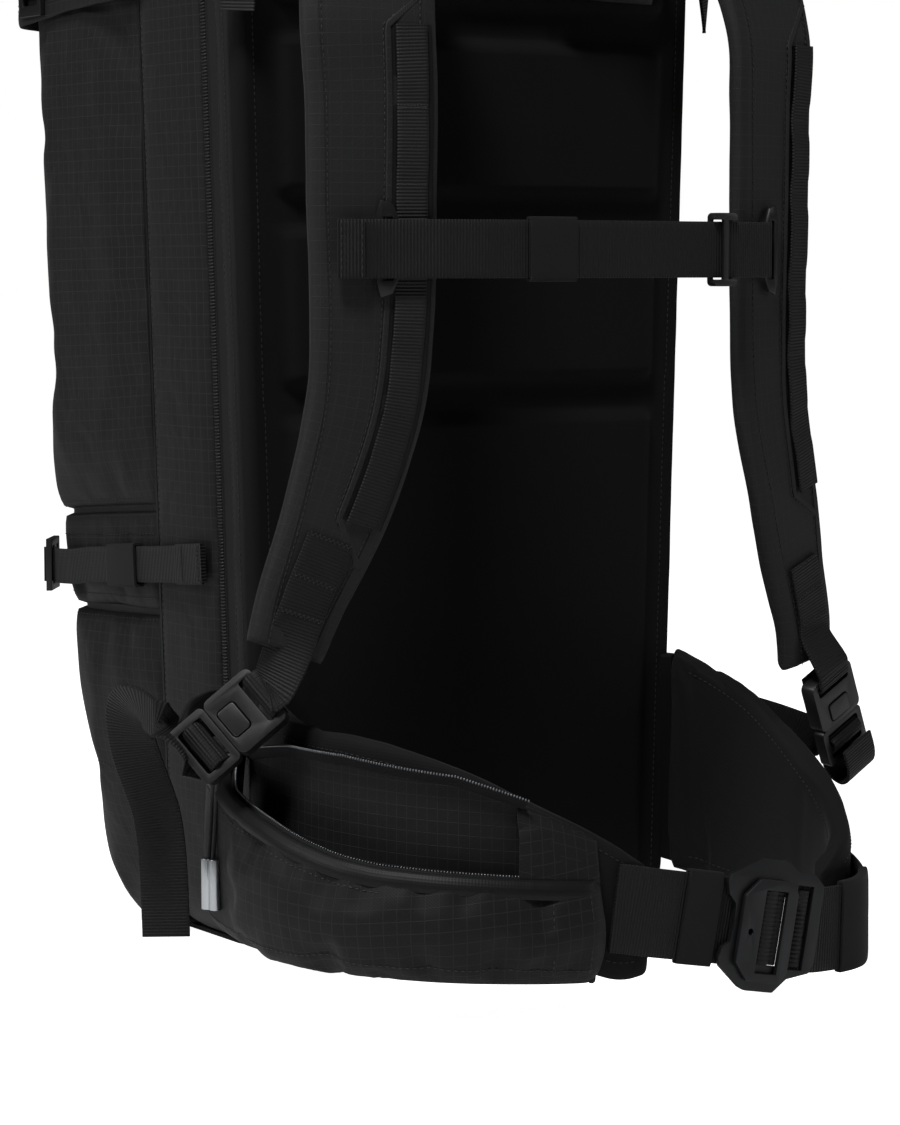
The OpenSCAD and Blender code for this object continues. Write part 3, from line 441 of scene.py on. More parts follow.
def settle(obj, pinned, pressure=4.0, growth=0.02, cap=8.0, stiff=6.0):
    """Cloth under pressure, pinned where it is sewn, with no gravity. cap is the furthest move."""
    start = np.array([v.co for v in obj.data.vertices])
    group = obj.vertex_groups.new(name="sewn")
    back_points = start / MM - (0.0, BACK_Y, 0.0)
    held = [i for i, p in enumerate(back_points) if pinned(p)]
    group.add(held, 1.0, "REPLACE")
    cloth = obj.modifiers.new("settle", "CLOTH")
    cloth.settings.quality = 6
    cloth.settings.mass = 0.25
    cloth.settings.tension_stiffness = 12
    cloth.settings.compression_stiffness = 12
    cloth.settings.bending_stiffness = stiff
    cloth.settings.use_pressure = True
    cloth.settings.uniform_pressure_force = pressure
    cloth.settings.shrink_min = -growth
    cloth.settings.vertex_group_mass = "sewn"
    cloth.settings.effector_weights.gravity = 0.0
    cloth.collision_settings.use_collision = False
    cloth.point_cache.frame_start = 1
    cloth.point_cache.frame_end = 20
    for step in range(1, 21):
        scene.frame_set(step)
    evaluated = obj.evaluated_get(bpy.context.evaluated_depsgraph_get())
    ended = np.array([v.co for v in evaluated.data.vertices])
    obj.modifiers.clear()
    scene.frame_set(1)
    move = ended - start
    far = np.linalg.norm(move, axis=1, keepdims=True)
    move *= np.minimum(1.0, cap * MM / np.maximum(far, 1e-9))
    obj.data.vertices.foreach_set("co", (start + move).astype(np.float32).ravel())
    obj.data.update()
    obj.vertex_groups.clear()
    return obj


# ---------- rows of stitches and teeth ----------

def row_tree():
    """Geometry nodes that set one small rounded bead every Pitch along a path."""
    tree = bpy.data.node_groups.new("row_along_a_path", "GeometryNodeTree")
    tree.interface.new_socket("Path", in_out="INPUT", socket_type="NodeSocketGeometry")
    for name in ("Pitch", "Length", "Width", "Height"):
        tree.interface.new_socket(name, in_out="INPUT", socket_type="NodeSocketFloat")
    tree.interface.new_socket("Finish", in_out="INPUT", socket_type="NodeSocketMaterial")
    tree.interface.new_socket("Row", in_out="OUTPUT", socket_type="NodeSocketGeometry")
    given = add(tree, "NodeGroupInput").outputs
    curve = add(tree, "GeometryNodeMeshToCurve", {"Mesh": given["Path"]})
    even = add(tree, "GeometryNodeResampleCurve", {
        "Curve": curve.outputs[0], "Length": given["Pitch"]}, mode="LENGTH")
    facing = add(tree, "GeometryNodeInputNamedAttribute", {"Name": "facing"},
                 data_type="FLOAT_VECTOR")
    upward = add(tree, "FunctionNodeAlignRotationToVector", {"Vector": facing.outputs[0]}, axis="Z")
    turned = add(tree, "FunctionNodeAlignRotationToVector", {
        "Rotation": upward.outputs[0], "Vector": add(tree, "GeometryNodeInputTangent").outputs[0]},
        axis="X", pivot_axis="Z")
    bead = add(tree, "GeometryNodeMeshUVSphere", {"Segments": 6, "Rings": 4, "Radius": 0.5})
    size = add(tree, "ShaderNodeCombineXYZ", {
        0: given["Length"], 1: given["Width"], 2: given["Height"]})
    row = add(tree, "GeometryNodeInstanceOnPoints", {
        "Points": even.outputs[0], "Instance": bead.outputs[0],
        "Rotation": turned.outputs[0], "Scale": size.outputs[0]})
    real = add(tree, "GeometryNodeRealizeInstances", {0: row.outputs[0]})
    smooth_row = add(tree, "GeometryNodeSetShadeSmooth", {0: real.outputs[0]})
    coloured = add(tree, "GeometryNodeSetMaterial", {
        "Geometry": smooth_row.outputs[0], "Material": given["Finish"]})
    add(tree, "NodeGroupOutput", {"Row": coloured.outputs[0]})
    return tree


ROW_TREE = row_tree()
ROW_INPUT = {item.name: item.identifier for item in ROW_TREE.interface.items_tree
             if item.in_out == "INPUT"}


def make_row(name, paths, pitch, length, width, height, material, body):
    """One mesh of beads along paths. A path is (points mm, directions that it faces)."""
    points, facing, edges = [], [], []
    for line, normals in paths:
        first = len(points)
        points += [tuple(p) for p in metres(line)]
        facing += [tuple(n) for n in normals]
        edges += [(first + i, first + i + 1) for i in range(len(line) - 1)]
    mesh = bpy.data.meshes.new(name)
    mesh.from_pydata(points, edges, [])
    attribute = mesh.attributes.new("facing", "FLOAT_VECTOR", "POINT")
    attribute.data.foreach_set("vector", np.asarray(facing, np.float32).ravel())
    made = bpy.data.objects.new(name, mesh)
    scene.collection.objects.link(made)
    modifier = made.modifiers.new("row", "NODES")
    modifier.node_group = ROW_TREE
    for key, value in (("Pitch", pitch), ("Length", length), ("Width", width), ("Height", height)):
        modifier[ROW_INPUT[key]] = value * MM
    modifier[ROW_INPUT["Finish"]] = material
    bake_modifiers(made)
    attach(made, body)
    return made


STITCHES = {}


def sew(body, line, normals):
    """Keeps a line of stitches for its body's one mesh of thread."""
    STITCHES.setdefault(body, []).append((np.asarray(line, float), np.asarray(normals, float)))


def surface_of(obj):
    """A search tree over a finished piece."""
    mesh = obj.data
    return BVHTree.FromPolygons([v.co for v in mesh.vertices], [p.vertices for p in mesh.polygons])


def laid_on(tree, line, lift=0.15, reach=25.0):
    """The line moved onto a skin, with the skin's normals."""
    points, normals = [], []
    for p in metres(line):
        place, normal, _, _ = tree.find_nearest(Vector(p), reach * MM)
        if place is None:
            continue
        points.append((np.array(place) + np.array(normal) * lift * MM) / MM - (0.0, BACK_Y, 0.0))
        normals.append(np.array(normal))
    return points, normals


# ---------- sizes of the bag, as in the CAD part ----------

GROUND_GAP = 3.5
BODY_TOP = 556.0
PANEL_TOP = 564.0
SEAM_Y = 109.0
ZIP_LOW = 60.0
DEPTH = 248.0
SEAM_GAP = 0.5
LOW_SEAM, HIGH_SEAM = 172.0, 230.0
WEBBING_T = 1.8


def half_w(z):
    return mix(260.0, 290.0, z / 510.0) / 2


def outline(z0, z1, r, step=7.0):
    """Points round the bag's edge seen from the wearer, with outward directions, from the
    middle of the base up its left side."""
    def straight(a, b):
        count = max(2, int(np.hypot(*np.subtract(b, a)) / step))
        return [np.add(a, np.subtract(b, a) * i / count) for i in range(count)]

    def corner(cx, cz, start):
        return [(cx + r * math.cos(a), cz + r * math.sin(a))
                for a in np.radians(start - np.arange(0, 90, 9.0))]
    low, high = half_w(z0) - r, half_w(z1) - r
    flat = (straight((0, z0), (-low, z0)) + corner(-low, z0 + r, 270)
            + straight((-half_w(z0), z0 + r), (-half_w(z1), z1 - r)) + corner(-high, z1 - r, 180)
            + straight((-high, z1), (high, z1)) + corner(high, z1 - r, 90)
            + straight((half_w(z1), z1 - r), (half_w(z0), z0 + r)) + corner(low, z0 + r, 0)
            + straight((low, z0), (0, z0)))
    flat = np.array([np.array(p, float) for p in flat])
    along = np.roll(flat, -1, axis=0) - np.roll(flat, 1, axis=0)
    out = np.stack([-along[:, 1], along[:, 0]], axis=1)
    out /= np.linalg.norm(out, axis=1, keepdims=True)
    return flat, out


def edge_point(p, out, y, off):
    return (p[0] + out[0] * off, y, p[1] + out[1] * off)


def edge_band(name, ys, offs, wall, part="all", sharp=38.0):
    """Cloth round the bag's edge. ys and offs are the section's points, from the wearer's side."""
    flat, out = outline(GROUND_GAP, BODY_TOP, 30.0)
    if part == "upper":
        keep = [i for i in range(len(flat)) if flat[i][1] >= ZIP_LOW - 0.1]
    elif part == "lower":
        half = len(flat) // 2
        order = list(range(half, len(flat))) + list(range(half))
        keep = [i for i in order if flat[i][1] <= ZIP_LOW - SEAM_GAP + 3.5]
    else:
        keep = list(range(len(flat)))
    rings = []
    for i in keep:
        outer = [edge_point(flat[i], out[i], y, off) for y, off in zip(ys, offs)]
        inner = [edge_point(flat[i], out[i], y, off - wall) for y, off in zip(ys, offs)]
        rings.append(outer + inner[::-1])
    return loft(name, rings, loop=part == "all", sharp=sharp)


def stitched_edge(body, obj, y):
    """A line of stitches round the bag's edge on a finished piece."""
    flat, out = outline(GROUND_GAP, BODY_TOP, 30.0)
    line = [edge_point(point, away, y, 1.5) for point, away in zip(flat, out)]
    sew(body, *laid_on(surface_of(obj), line, 0.2))


# ---------- bag ----------

def tilt(y, z):
    """The seams round the waist drop towards the front; the lift fades above and below them."""
    drop = mix(5.0, 11.0, float(np.clip((z - LOW_SEAM) / 58, 0, 1)))
    fade = min(1.0, max(0.0, (400 - z) / 160), max(0.0, (z - 20) / 140))
    return fade * (7.0 - drop * (y - SEAM_Y) / 136)


def section_ring(z, depth, bulge):
    """One level of a front section, open side at the seam."""
    corner = 18.0
    h = half_w(z) + bulge
    back = SEAM_Y + SEAM_GAP
    side = np.linspace(back, depth - corner, 22, endpoint=False)
    turn = np.radians(np.linspace(0, 90, 9))
    front = np.linspace(-(h - corner), h - corner, 44)[1:-1]
    left = [(-h, y, z) for y in side]
    left += [(-(h - corner) - corner * math.cos(a), depth - corner + corner * math.sin(a), z)
             for a in turn]
    right = [(-x, y, z) for x, y, z in left[::-1]]
    shut = [(x, back, z) for x in np.linspace(h, -h, 30)[1:-1]]
    ring = left + [(x, depth, z) for x in front] + right + shut
    return [(x, y, z + tilt(y, z)) for x, y, z in ring]


def bag_section(name, rows, pinches=(), growth=0.035, pressure=5.0):
    """A sewn section of the bag: lofted, filled out by cloth, and creased at its seams."""
    dense = np.array(smooth(rows, 8))
    low, high = rows[0][0], rows[-1][0]
    heights = np.linspace(low, high, max(6, int((high - low) / 5.5)))
    heights[1], heights[-2] = low + 1.6, high - 1.6
    levels = [(z, np.interp(z, dense[:, 0], dense[:, 1]), np.interp(z, dense[:, 0], dense[:, 2]))
              for z in heights]
    made = loft(name, [section_ring(*level) for level in levels], sharp=70.0)

    def sewn(p):
        z = p[2] - tilt(p[1], p[2])
        return (p[1] < SEAM_Y + 2.5 or z < low + 1.5 or z > high - 1.5
                or any(abs(z - pinch) < 1.9 for pinch in pinches))
    settle(made, sewn, pressure=pressure, growth=growth, cap=6.5)
    subdivide(made)
    wrinkle(made, 0.9, 42, seed=len(name), hold=lambda p: float(sewn(p)))
    return made


front_pocket = bag_section("front_pocket_cloth", [
    (HIGH_SEAM + SEAM_GAP, DEPTH - 17, -4), (HIGH_SEAM + 5, DEPTH - 11, 0),
    (260, DEPTH - 6, 1), (300, DEPTH - 4, 1.5), (400, DEPTH - 3, 2),
    (460, DEPTH - 4, 1), (500, DEPTH - 5, 0), (524, DEPTH - 8, 0), (530, DEPTH - 12, -4)],
    growth=0.012, pressure=3.0)
waist_band = bag_section("waist_section_cloth", [
    (LOW_SEAM, DEPTH - 29, -4), (LOW_SEAM + 5, DEPTH - 23, -1), (200, DEPTH - 17, -1),
    (HIGH_SEAM - 5, DEPTH - 13, -1), (HIGH_SEAM, DEPTH - 16, -4)], pinches=(216.0, 179.0))
lower_pocket = bag_section("lower_pocket_cloth", [
    (GROUND_GAP, DEPTH - 98, -4), (9, DEPTH - 84, -1), (22, DEPTH - 69, -1),
    (38, DEPTH - 54, -1), (80, DEPTH - 42, 0), (120, DEPTH - 30, 0),
    (LOW_SEAM - 6, DEPTH - 24, -1), (LOW_SEAM - SEAM_GAP, DEPTH - 28, -4)], growth=0.015,
    pressure=3.0)
give(front_pocket, RIPSTOP, "front_pocket", slot="ripstop_nylon")
give(waist_band, RIPSTOP, "waist_band", slot="ripstop_nylon")
give(lower_pocket, RIPSTOP, "lower_pocket", slot="ripstop_nylon")
for i, (z, depth) in enumerate(((HIGH_SEAM + 0.2, DEPTH - 17), (LOW_SEAM - 0.2, DEPTH - 29))):
    allowance = loft(f"seam_allowance_{i}", [section_ring(z + up, depth - 1.5, -4.5)
                                             for up in (-2.2, -0.7, 0.8, 2.3)])
    give(allowance, COATED, body="pack", slot="ripstop_nylon")


def level_stitches(obj, z, slope=0.0):
    """Stitches along a section's sides and front at one height, less slope for each mm forward."""
    ring = [p for p in section_ring(z, DEPTH - 20, 3) if p[1] > SEAM_Y + 3]
    line = [(x, y, z - slope * (y - SEAM_Y)) for x, y, z in ring]
    sew("pack", *laid_on(surface_of(obj), line))


level_stitches(front_pocket, HIGH_SEAM + 4.0)
level_stitches(waist_band, 216.0)
level_stitches(waist_band, 179.0)
level_stitches(lower_pocket, LOW_SEAM - 3.5)
level_stitches(lower_pocket, 80.0, slope=-0.11)

shell_ys = [43.0, 43.2, 44.5, 48, 54, 62, 71, 80, 89, 97, 103, 107, 109.0]
shell_offs = [-4.0, -1.6, -0.2, 0.9, 1.6, 2.0, 2.1, 2.0, 1.7, 1.2, 0.4, -0.6, -2.4]
main_shell = edge_band("main_shell_cloth", shell_ys, shell_offs, 1.8, sharp=80.0)
wrinkle(main_shell, 0.9, 48, seed=3, hold=lambda p: float(p[1] < 46 or p[1] > 106))
give(main_shell, RIPSTOP, "main_shell", slot="ripstop_nylon")
back_wall = loft("main_shell_wall", [
    [(p[0] * s, SEAM_Y - 2 + drop, 280 + (p[1] - 280) * s) for p in outline(5.5, 554, 29.0)[0]]
    for s, drop in ((0.1, 0), (0.5, 0), (0.999, 0), (0.999, 2), (0.5, 2), (0.1, 2))])
give(back_wall, COATED, body="pack", slot="ripstop_nylon")

seam_line = edge_band("side_seam_piping", [108.0, 108.6, 109.6, 110.2],
                      [-2.6, -0.7, -0.7, -2.6], 0.9)
give(seam_line, COATED, body="pack", slot="ripstop_nylon")
stitched_edge("pack", main_shell, 105.2)

gusset = edge_band("panel_gusset_cloth", [12.6, 13.2, 15, 18, 21, 24, 25.6, 26.0],
                   [-1.2, 0.2, 0.9, 1.1, 0.8, 0.2, -0.5, -1.4], 1.6, sharp=80.0)
wrinkle(gusset, 0.5, 26, seed=5)
give(gusset, ZIP_TAPE, "panel_gusset", slot="coated_nylon")
stitched_edge("pack", gusset, 16.0)
stitched_edge("pack", gusset, 24.0)

zip_tape = edge_band("main_zip_tape_cloth", [26.4, 27, 30, 34.6, 35, 41, 41.4, 42.6],
                     [-2.2, -1.3, -1.1, -1.1, -0.4, -0.4, -1.4, -1.8], 1.0, part="upper")
give(zip_tape, ZIP_TAPE, "main_zip_tape", slot="zip_tape")
bottom_fold = edge_band("bottom_fold_cloth", [26.4, 27.5, 31, 35, 39, 41.5, 42.6],
                        [-1.8, -0.4, 0.1, -0.6, 0.0, -0.5, -1.8], 1.4, part="lower", sharp=80.0)
give(bottom_fold, COATED, "bottom_fold", slot="coated_nylon")

flat, out = outline(GROUND_GAP, BODY_TOP, 30.0)
zip_way = [i for i in range(len(flat)) if flat[i][1] >= ZIP_LOW]
coil_line = [edge_point(flat[i], out[i], 38.0, 0.0) for i in zip_way]
coil_out = [(out[i][0], 0.0, out[i][1]) for i in zip_way]
make_row("main_zip_coil", [(coil_line, coil_out)], 1.75, 1.25, 5.6, 1.7, COIL, "pack")
eased_copy("base_panel", COATED, 1.0, slot="coated_nylon")


# Moulded foam: a sheet with four raised pads between sewn grooves.
PAD_EDGES = ((30, 290), (304, 390), (404, 490), (505, 550))
PAD_RISE = 7.6
PAD_INSET = 17.0
BORDER_BEAD, BORDER_STITCH = 3.0, 8.5       # in from the panel's edge


def panel_face(x, z):
    """How far the foam's face stands back, in millimetres, at a place on the panel."""
    rise = 0.0
    for low, high in PAD_EDGES:
        side = half_w(z) - PAD_INSET - abs(x)
        tall = min(z - low + 2, high + 2 - z)
        share = float(ease(side / 9.0)) * float(ease(tall / 10.0))
        crown = 1.0 - 0.10 * (abs(x) / half_w(z)) ** 2
        rise = max(rise, share * crown)
    border = half_w(z) - abs(x)
    bead = 0.9 * math.exp(-((border - BORDER_BEAD) / 2.0) ** 2)
    stitch = -0.7 * math.exp(-((border - BORDER_STITCH) / 1.2) ** 2)
    return 2.0 - PAD_RISE * rise - bead - stitch


def foam_panel():
    rings = []
    low, high, r = 6.0, PANEL_TOP, 26.0
    heights = sorted(set(np.round(np.concatenate([
        np.linspace(low, high, 130),
        *[np.linspace(e - 4, e + 10, 9) for e, _ in PAD_EDGES],
        *[np.linspace(e - 10, e + 4, 9) for _, e in PAD_EDGES]]), 2)))
    heights = [z for z in heights if low <= z <= high]
    for z in heights:
        round_in = 0.0
        for edge, sign in ((low + r, -1), (high - r, 1)):
            past = sign * (z - edge)
            if past > 0:
                round_in = r - math.sqrt(max(r * r - past * past, 0.0))
        h = half_w(z) - min(round_in, r)
        shares = np.sin(np.linspace(-math.pi / 2, math.pi / 2, 57)) * 0.5 \
            + np.linspace(-1, 1, 57) * 0.5
        face = [(s * h, panel_face(s * h * (half_w(z) / h), z), z) for s in shares]
        face[0] = (face[0][0], 5.0, z)
        face[-1] = (face[-1][0], 5.0, z)
        rings.append(face + [(h, 12.0, z), (-h, 12.0, z)])
    return loft("back_panel_foam", rings, sharp=75.0)


foam = foam_panel()
wrinkle(foam, 0.35, 40, seed=11)
give(foam, FOAM_CLOTH, "back_panel", slot="moulded_foam")
foam_tree = surface_of(foam)
for sign in (-1, 1):
    border = [(sign * (half_w(z) - BORDER_STITCH), 1.0, z) for z in np.linspace(20, 552, 120)]
    sew("pack", *laid_on(foam_tree, border))


# ---------- lid and what lies under it ----------

HINGE_Y, HINGE_Z = 44.0, 560.0
LID_DEPTH = DEPTH + 7.0
LID_HALF = 155.0


def lid_plan(inset):
    """The lid's edge seen from above, with corners of 26 in front and 16 behind."""
    def corner(cx, cy, r, start, stop, count=8):
        return [(cx + (r - inset) * math.cos(a), cy + (r - inset) * math.sin(a))
                for a in np.radians(np.linspace(start, stop, count))]

    def straight(a, b, count):
        return [tuple(np.add(a, np.subtract(b, a) * i / count)) for i in range(1, count)]
    arcs = [corner(LID_HALF - 26, LID_DEPTH - 26, 26, 90, 0),
            corner(LID_HALF - 16, HINGE_Y + 17.5, 16, 0, -90),
            corner(16 - LID_HALF, HINGE_Y + 17.5, 16, 270, 180),
            corner(26 - LID_HALF, LID_DEPTH - 26, 26, 180, 90)]
    made = []
    for i, bend in enumerate(arcs):
        following = arcs[(i + 1) % 4]
        made += bend + straight(bend[-1], following[0], 26 if i % 2 == 0 else 34)
    return made


def lid_edge(y):
    """Height of the lid's rim."""
    if y <= 110:
        return mix(HINGE_Z + 1, 512.0, float(np.clip((y - 46) / 64, 0, 1)))
    return mix(512.0, 502.0, (y - 110) / (LID_DEPTH - 110))


def lid_skin():
    middle = np.array((0.0, (HINGE_Y + LID_DEPTH) / 2))

    def level(z, inset, share=1.0, rise=0.0):
        ring = []
        for p in lid_plan(inset):
            q = middle + (np.array(p) - middle) * share
            rim = lid_edge(p[1])
            ring.append((q[0], q[1], rim + rise if z is None else max(z, rim + rise)))
        return ring
    inside = [level(608, 16, s) for s in (0.1, 0.4, 0.7, 0.95)]
    inside += [level(600, 8), level(588, 5), level(576, 3, rise=14), level(None, 3, rise=9),
               level(None, 2.4, rise=1)]
    outside = [level(None, 1.2), level(None, 0.2, rise=2), level(None, 0.0, rise=8),
               level(None, 0.6, rise=11), level(None, 0, rise=14), level(566, -1, rise=15.5),
               level(574, -1.5, rise=17), level(582, -1, rise=19), level(588, 0, rise=20),
               level(592, 1.5, rise=21), level(594, 1.0, rise=22), level(600, 3, rise=23),
               level(605, 6.5, rise=24), level(608.6, 11, rise=25), level(610.6, 17, rise=26)]
    outside += [level(611 + 3.0 * (1 - s * s), 17, s) for s in (0.85, 0.65, 0.4, 0.16, 0.02)]
    return loft("top_lid_cloth", inside + outside, sharp=75.0)


lid = lid_skin()
subdivide(lid)
wrinkle(lid, 1.1, 46, seed=17)
give(lid, RIPSTOP, "top_lid", slot="ripstop_nylon")
lid_tree = surface_of(lid)
for rise in (9.5, 12.5):
    sew("lid", *laid_on(lid_tree, [(x, y, lid_edge(y) + rise) for x, y in lid_plan(0)]))
sew("lid", *laid_on(lid_tree, [(x, y, 596.0) for x, y in lid_plan(2)]))
eased_copy("lid_hooks", BLACK_METAL, 0.5, slot="black_metal")


def folded_airbag():
    """The bag's cloth in pleats, packed into one soft block."""
    rings = []
    for i, t in enumerate(np.linspace(0, 1, 34)):
        z = mix(BODY_TOP + 0.6, 591.0, t)
        pleat = 2.2 * math.sin(i * math.pi * 0.5) ** 2
        inset = 3 + pleat + 9 * t ** 5 + 4 * (1 - t) ** 5
        ring = []
        for a in np.linspace(0, 2 * math.pi, 90, endpoint=False):
            c, s = math.cos(a), math.sin(a)
            x = (118 - inset) * np.sign(c) * abs(c) ** 0.45
            y = 136 + (74 - inset) * np.sign(s) * abs(s) ** 0.45
            ring.append((x, y, z))
        rings.append(ring)
    rim = rings[-1]
    for s in (0.8, 0.55, 0.25, 0.06):
        rings.append([(x * s, 136 + (y - 136) * s, 591.0 + 1.2 * math.sin(s * 9))
                      for x, y, _ in rim])
    return loft("airbag_folded", rings, sharp=80.0)


airbag = folded_airbag()
wrinkle(airbag, 0.9, 14, seed=23)
give(airbag, AIRBAG_CLOTH, "airbag", slot="airbag_nylon")
for node, material in (
        ("frame_sheet", SHEET), ("aluminium_stays", BARE), ("gas_cylinder", BARE),
        ("valve_head", BRASS), ("firing_pin", STEEL), ("inflator_hose", RUBBER),
        ("trigger_cable", RUBBER)):
    shown = frame["nodes"][node].data.materials
    shown.clear()
    shown.append(material)


# ---------- straps ----------

STRAP_T = 12.0
FACE = STRAP_T / 2
STEPS = 12       # points to each row; the CAD part has 3
CHEST = (-125.0, -94.0)
CHEST_YAW = -18.0


def lean(yaw):
    return (math.cos(math.radians(yaw)), math.sin(math.radians(yaw)), 0.0)


strap_top = [
    (-76, -13.5, 512, 62, *lean(0)), (-77, -17.5, 542, 64, *lean(0)),
    (-86, -36, 562, 66, *lean(-4)), (-104, -62, 556, 68, *lean(-8)),
    (-119, -82, 528, 69, *lean(-12)), (-126, -92, 492, 69, *lean(-16)),
    (*CHEST, 450, 67, *lean(CHEST_YAW)), (*CHEST, 400, 66, *lean(CHEST_YAW)),
    (*CHEST, 340, 63, *lean(CHEST_YAW)), (-129, -92, 295, 60, *lean(-17)),
    (-143, -87, 245, 54, *lean(-16))]
left_end = [(-158, -81, 205, 46, *lean(-15)), (-167, -78, 178, 40, *lean(-14))]
right_end = [(-156, -80, 205, 47, *lean(-15)), (-166, -76.5, 174, 42, *lean(-14)),
             (-170.3, -73, 151, 38, *lean(-14))]
left_frames = frames(smooth(strap_top + left_end, STEPS))
right_frames = flipped(frames(smooth(strap_top + right_end, STEPS)))


def foam_half(s, h):
    """Half the foam's thickness at s across a strap of half width h."""
    return FACE * max(0.0, 1 - min(1.0, abs(s) / h) ** 7) ** 0.42


def strap_skin(name, list_of_frames):
    """A foam strap: laminated ripstop face, knitted lining folded round both edges."""
    fold = 8.0
    rings = []
    last = len(list_of_frames) - 1
    edge = 0.5 - 0.5 * np.cos(np.linspace(0, math.pi / 2, 7))
    for i, f in enumerate(list_of_frames):
        h = f.width / 2
        near = min(i, last - i)
        thin = 1.0 if near >= 3 else (0.35, 0.75, 0.93)[near]
        inner = list(np.linspace(-(h - fold), h - fold, 15))
        rim = [-h + 0.05 + fold * e * 2 * (1 - 0.006) for e in edge]
        front = rim + inner + [-v for v in rim[::-1]]
        lifted = [0.45] * len(rim) + [0.0] * len(inner) + [0.45] * len(rim)
        ring = []
        for s, up in zip(front, lifted):
            crown = 0.9 * (1 - (s / h) ** 2)
            ring.append(f.p + f.across * s + f.normal * ((foam_half(s, h) + up + crown) * thin))
        for s in front[::-1]:
            ring.append(f.p + f.across * s - f.normal * foam_half(s, h) * thin)
        rings.append(ring)
    zones = [1] * len(rings[0])
    zones[len(rim):len(rim) + len(inner) - 1] = [0] * (len(inner) - 1)
    made = loft(name, rings, sharp=60.0, zones=zones)
    wrinkle(made, 0.45, 38, seed=len(name))
    return made


def at_height(list_of_frames, z):
    """Index of the frame nearest a height, below the shoulder."""
    spots = range(4 * STEPS, len(list_of_frames))
    return min(spots, key=lambda i: abs(list_of_frames[i].p[2] - z))


def on_face(f, s, lift=0.0):
    crown = 0.9 * (1 - (2 * s / f.width) ** 2)
    return f.p + f.across * s + f.normal * (foam_half(s, f.width / 2) + crown + lift)


def ribbon(name, list_of_frames, width, thick, lifts=None, edge=0.5, sharp=50.0):
    """Webbing or a fold of cloth: a strip with rounded edges along frames."""
    rings = []
    for i, f in enumerate(list_of_frames):
        h = (width or f.width) / 2
        k = thick / 2
        lift = lifts[i] if lifts is not None else 0.0
        corners = [(-h, -k + edge), (-h + edge * 0.3, -k + edge * 0.3), (-h + edge, -k)]
        low = corners + [(s, -k) for s in np.linspace(-h + edge, h - edge, 9)[1:-1]]
        low += [(-s, q) for s, q in corners[::-1]]
        ring = low + [(-s, -q) for s, q in low]
        rings.append([f.p + f.across * s + f.normal * (q + lift) for s, q in ring])
    return loft(name, rings, sharp=sharp)


def bartack(body, f, s, width, lift):
    """A dense zigzag across webbing."""
    line, normals = [], []
    for i, share in enumerate(np.linspace(-0.5, 0.5, 19)):
        at = f.p + f.across * (s + share * width) + f.normal * lift \
            + f.along * (0.9 if i % 2 else -0.9)
        line.append(at)
        normals.append(f.normal)
    STITCHES.setdefault(body + ":tack", []).append((np.array(line), np.array(normals)))


DAISY_W = 16.0
TACKS = (446.0, 407.0, 360.0, 322.0, 283.0)


def dress_strap(side, list_of_frames, toward):
    """One strap's skin, slot, daisy chain and stitches. toward is 1 if across points inwards."""
    skin = strap_skin(side + "_shoulder_strap_foam", list_of_frames)
    # The strap's face is drawn in the paler ripstop, whose extra lightness is painted light.
    give(skin, [LIT_STRAP_RIPSTOP, BINDING], side + "_shoulder_strap", slot="ripstop_nylon")
    for sign in (-1, 1):
        line = [on_face(f, sign * (f.width / 2 - 9.3), 0.25) for f in list_of_frames[2:-2]]
        sew("pack", line, [f.normal for f in list_of_frames[2:-2]])
    first, last = at_height(list_of_frames, 486), at_height(list_of_frames, 246)
    run = list_of_frames[first:last + 1]
    middle = [toward * (f.width / 2 - 14.5) for f in run]
    placed = [Frame(f.p + f.across * m, f.across, f.normal, DAISY_W, f.along)
              for f, m in zip(run, middle)]
    lifts = []
    for f in placed:
        near = min(abs(f.p[2] - z) for z in TACKS)
        lifts.append(FACE + 1.7 + 1.2 * float(ease(near / 14.0)))
    chain = ribbon(side + "_daisy_chain_webbing", placed, DAISY_W, 1.5, lifts)
    give(chain, WEBBING, side + "_daisy_chain", slot="black_webbing")
    bed = ribbon(side + "_slot_bed", placed, DAISY_W + 5.5, 0.5, [FACE + 0.75] * len(placed))
    give(bed, COATED, body="pack", slot="ripstop_nylon")
    for z in TACKS:
        f = placed[at_height(list_of_frames, z) - first]
        bartack("pack", f, 0.0, DAISY_W - 1, FACE + 2.35)
    rim = []
    ahead = list_of_frames[first - 6]
    behind = list_of_frames[min(last + 5, len(list_of_frames) - 1)]
    rim.append(on_face(ahead, toward * (ahead.width / 2 - 6.0), 0.35))
    rim += [on_face(f, m - toward * 11.4, 0.35) for f, m in zip(run, middle)]
    rim.append(on_face(behind, toward * (behind.width / 2 - 6.0), 0.35))
    faces = [ahead.normal] + [f.normal for f in run] + [behind.normal]
    wish = [toward * f.across for f in [ahead] + run + [behind]]
    rows = [(*p, 3.2, *w) for p, w in zip(rim, wish)]
    lip = ribbon(side + "_slot_lip", frames(rows), 3.2, 1.3)
    # The lip is the same paler ripstop, painted light.
    give(lip, LIT_STRAP_RIPSTOP, body="pack", slot="ripstop_nylon")
    sew("pack", [p - w * 2.6 + n * 0.1 for p, w, n in zip(rim, wish, faces)], faces)
    return skin


dress_strap("left", left_frames, 1)
dress_strap("right", right_frames, 1)


# ---------- release buckles and their webbing ----------

Seat = namedtuple("Seat", "p along across")


def seat(p, d, w):
    d = unit(d)
    w = np.asarray(w, float)
    return Seat(np.array(p, float), d, unit(w - (w @ d) * d))


left_seat = seat((-193, -63, 138), (-0.687, 0.333, -0.646), (0.335, -0.648, -0.69))
right_seat = seat((191, -77, 118), (0.428, 0.168, -0.888), (0.882, 0.128, 0.45))


def on_seat(s, x, z, width=24.5):
    p = s.p + x * s.along + z * np.cross(s.along, s.across)
    return (*p, width, *s.across)


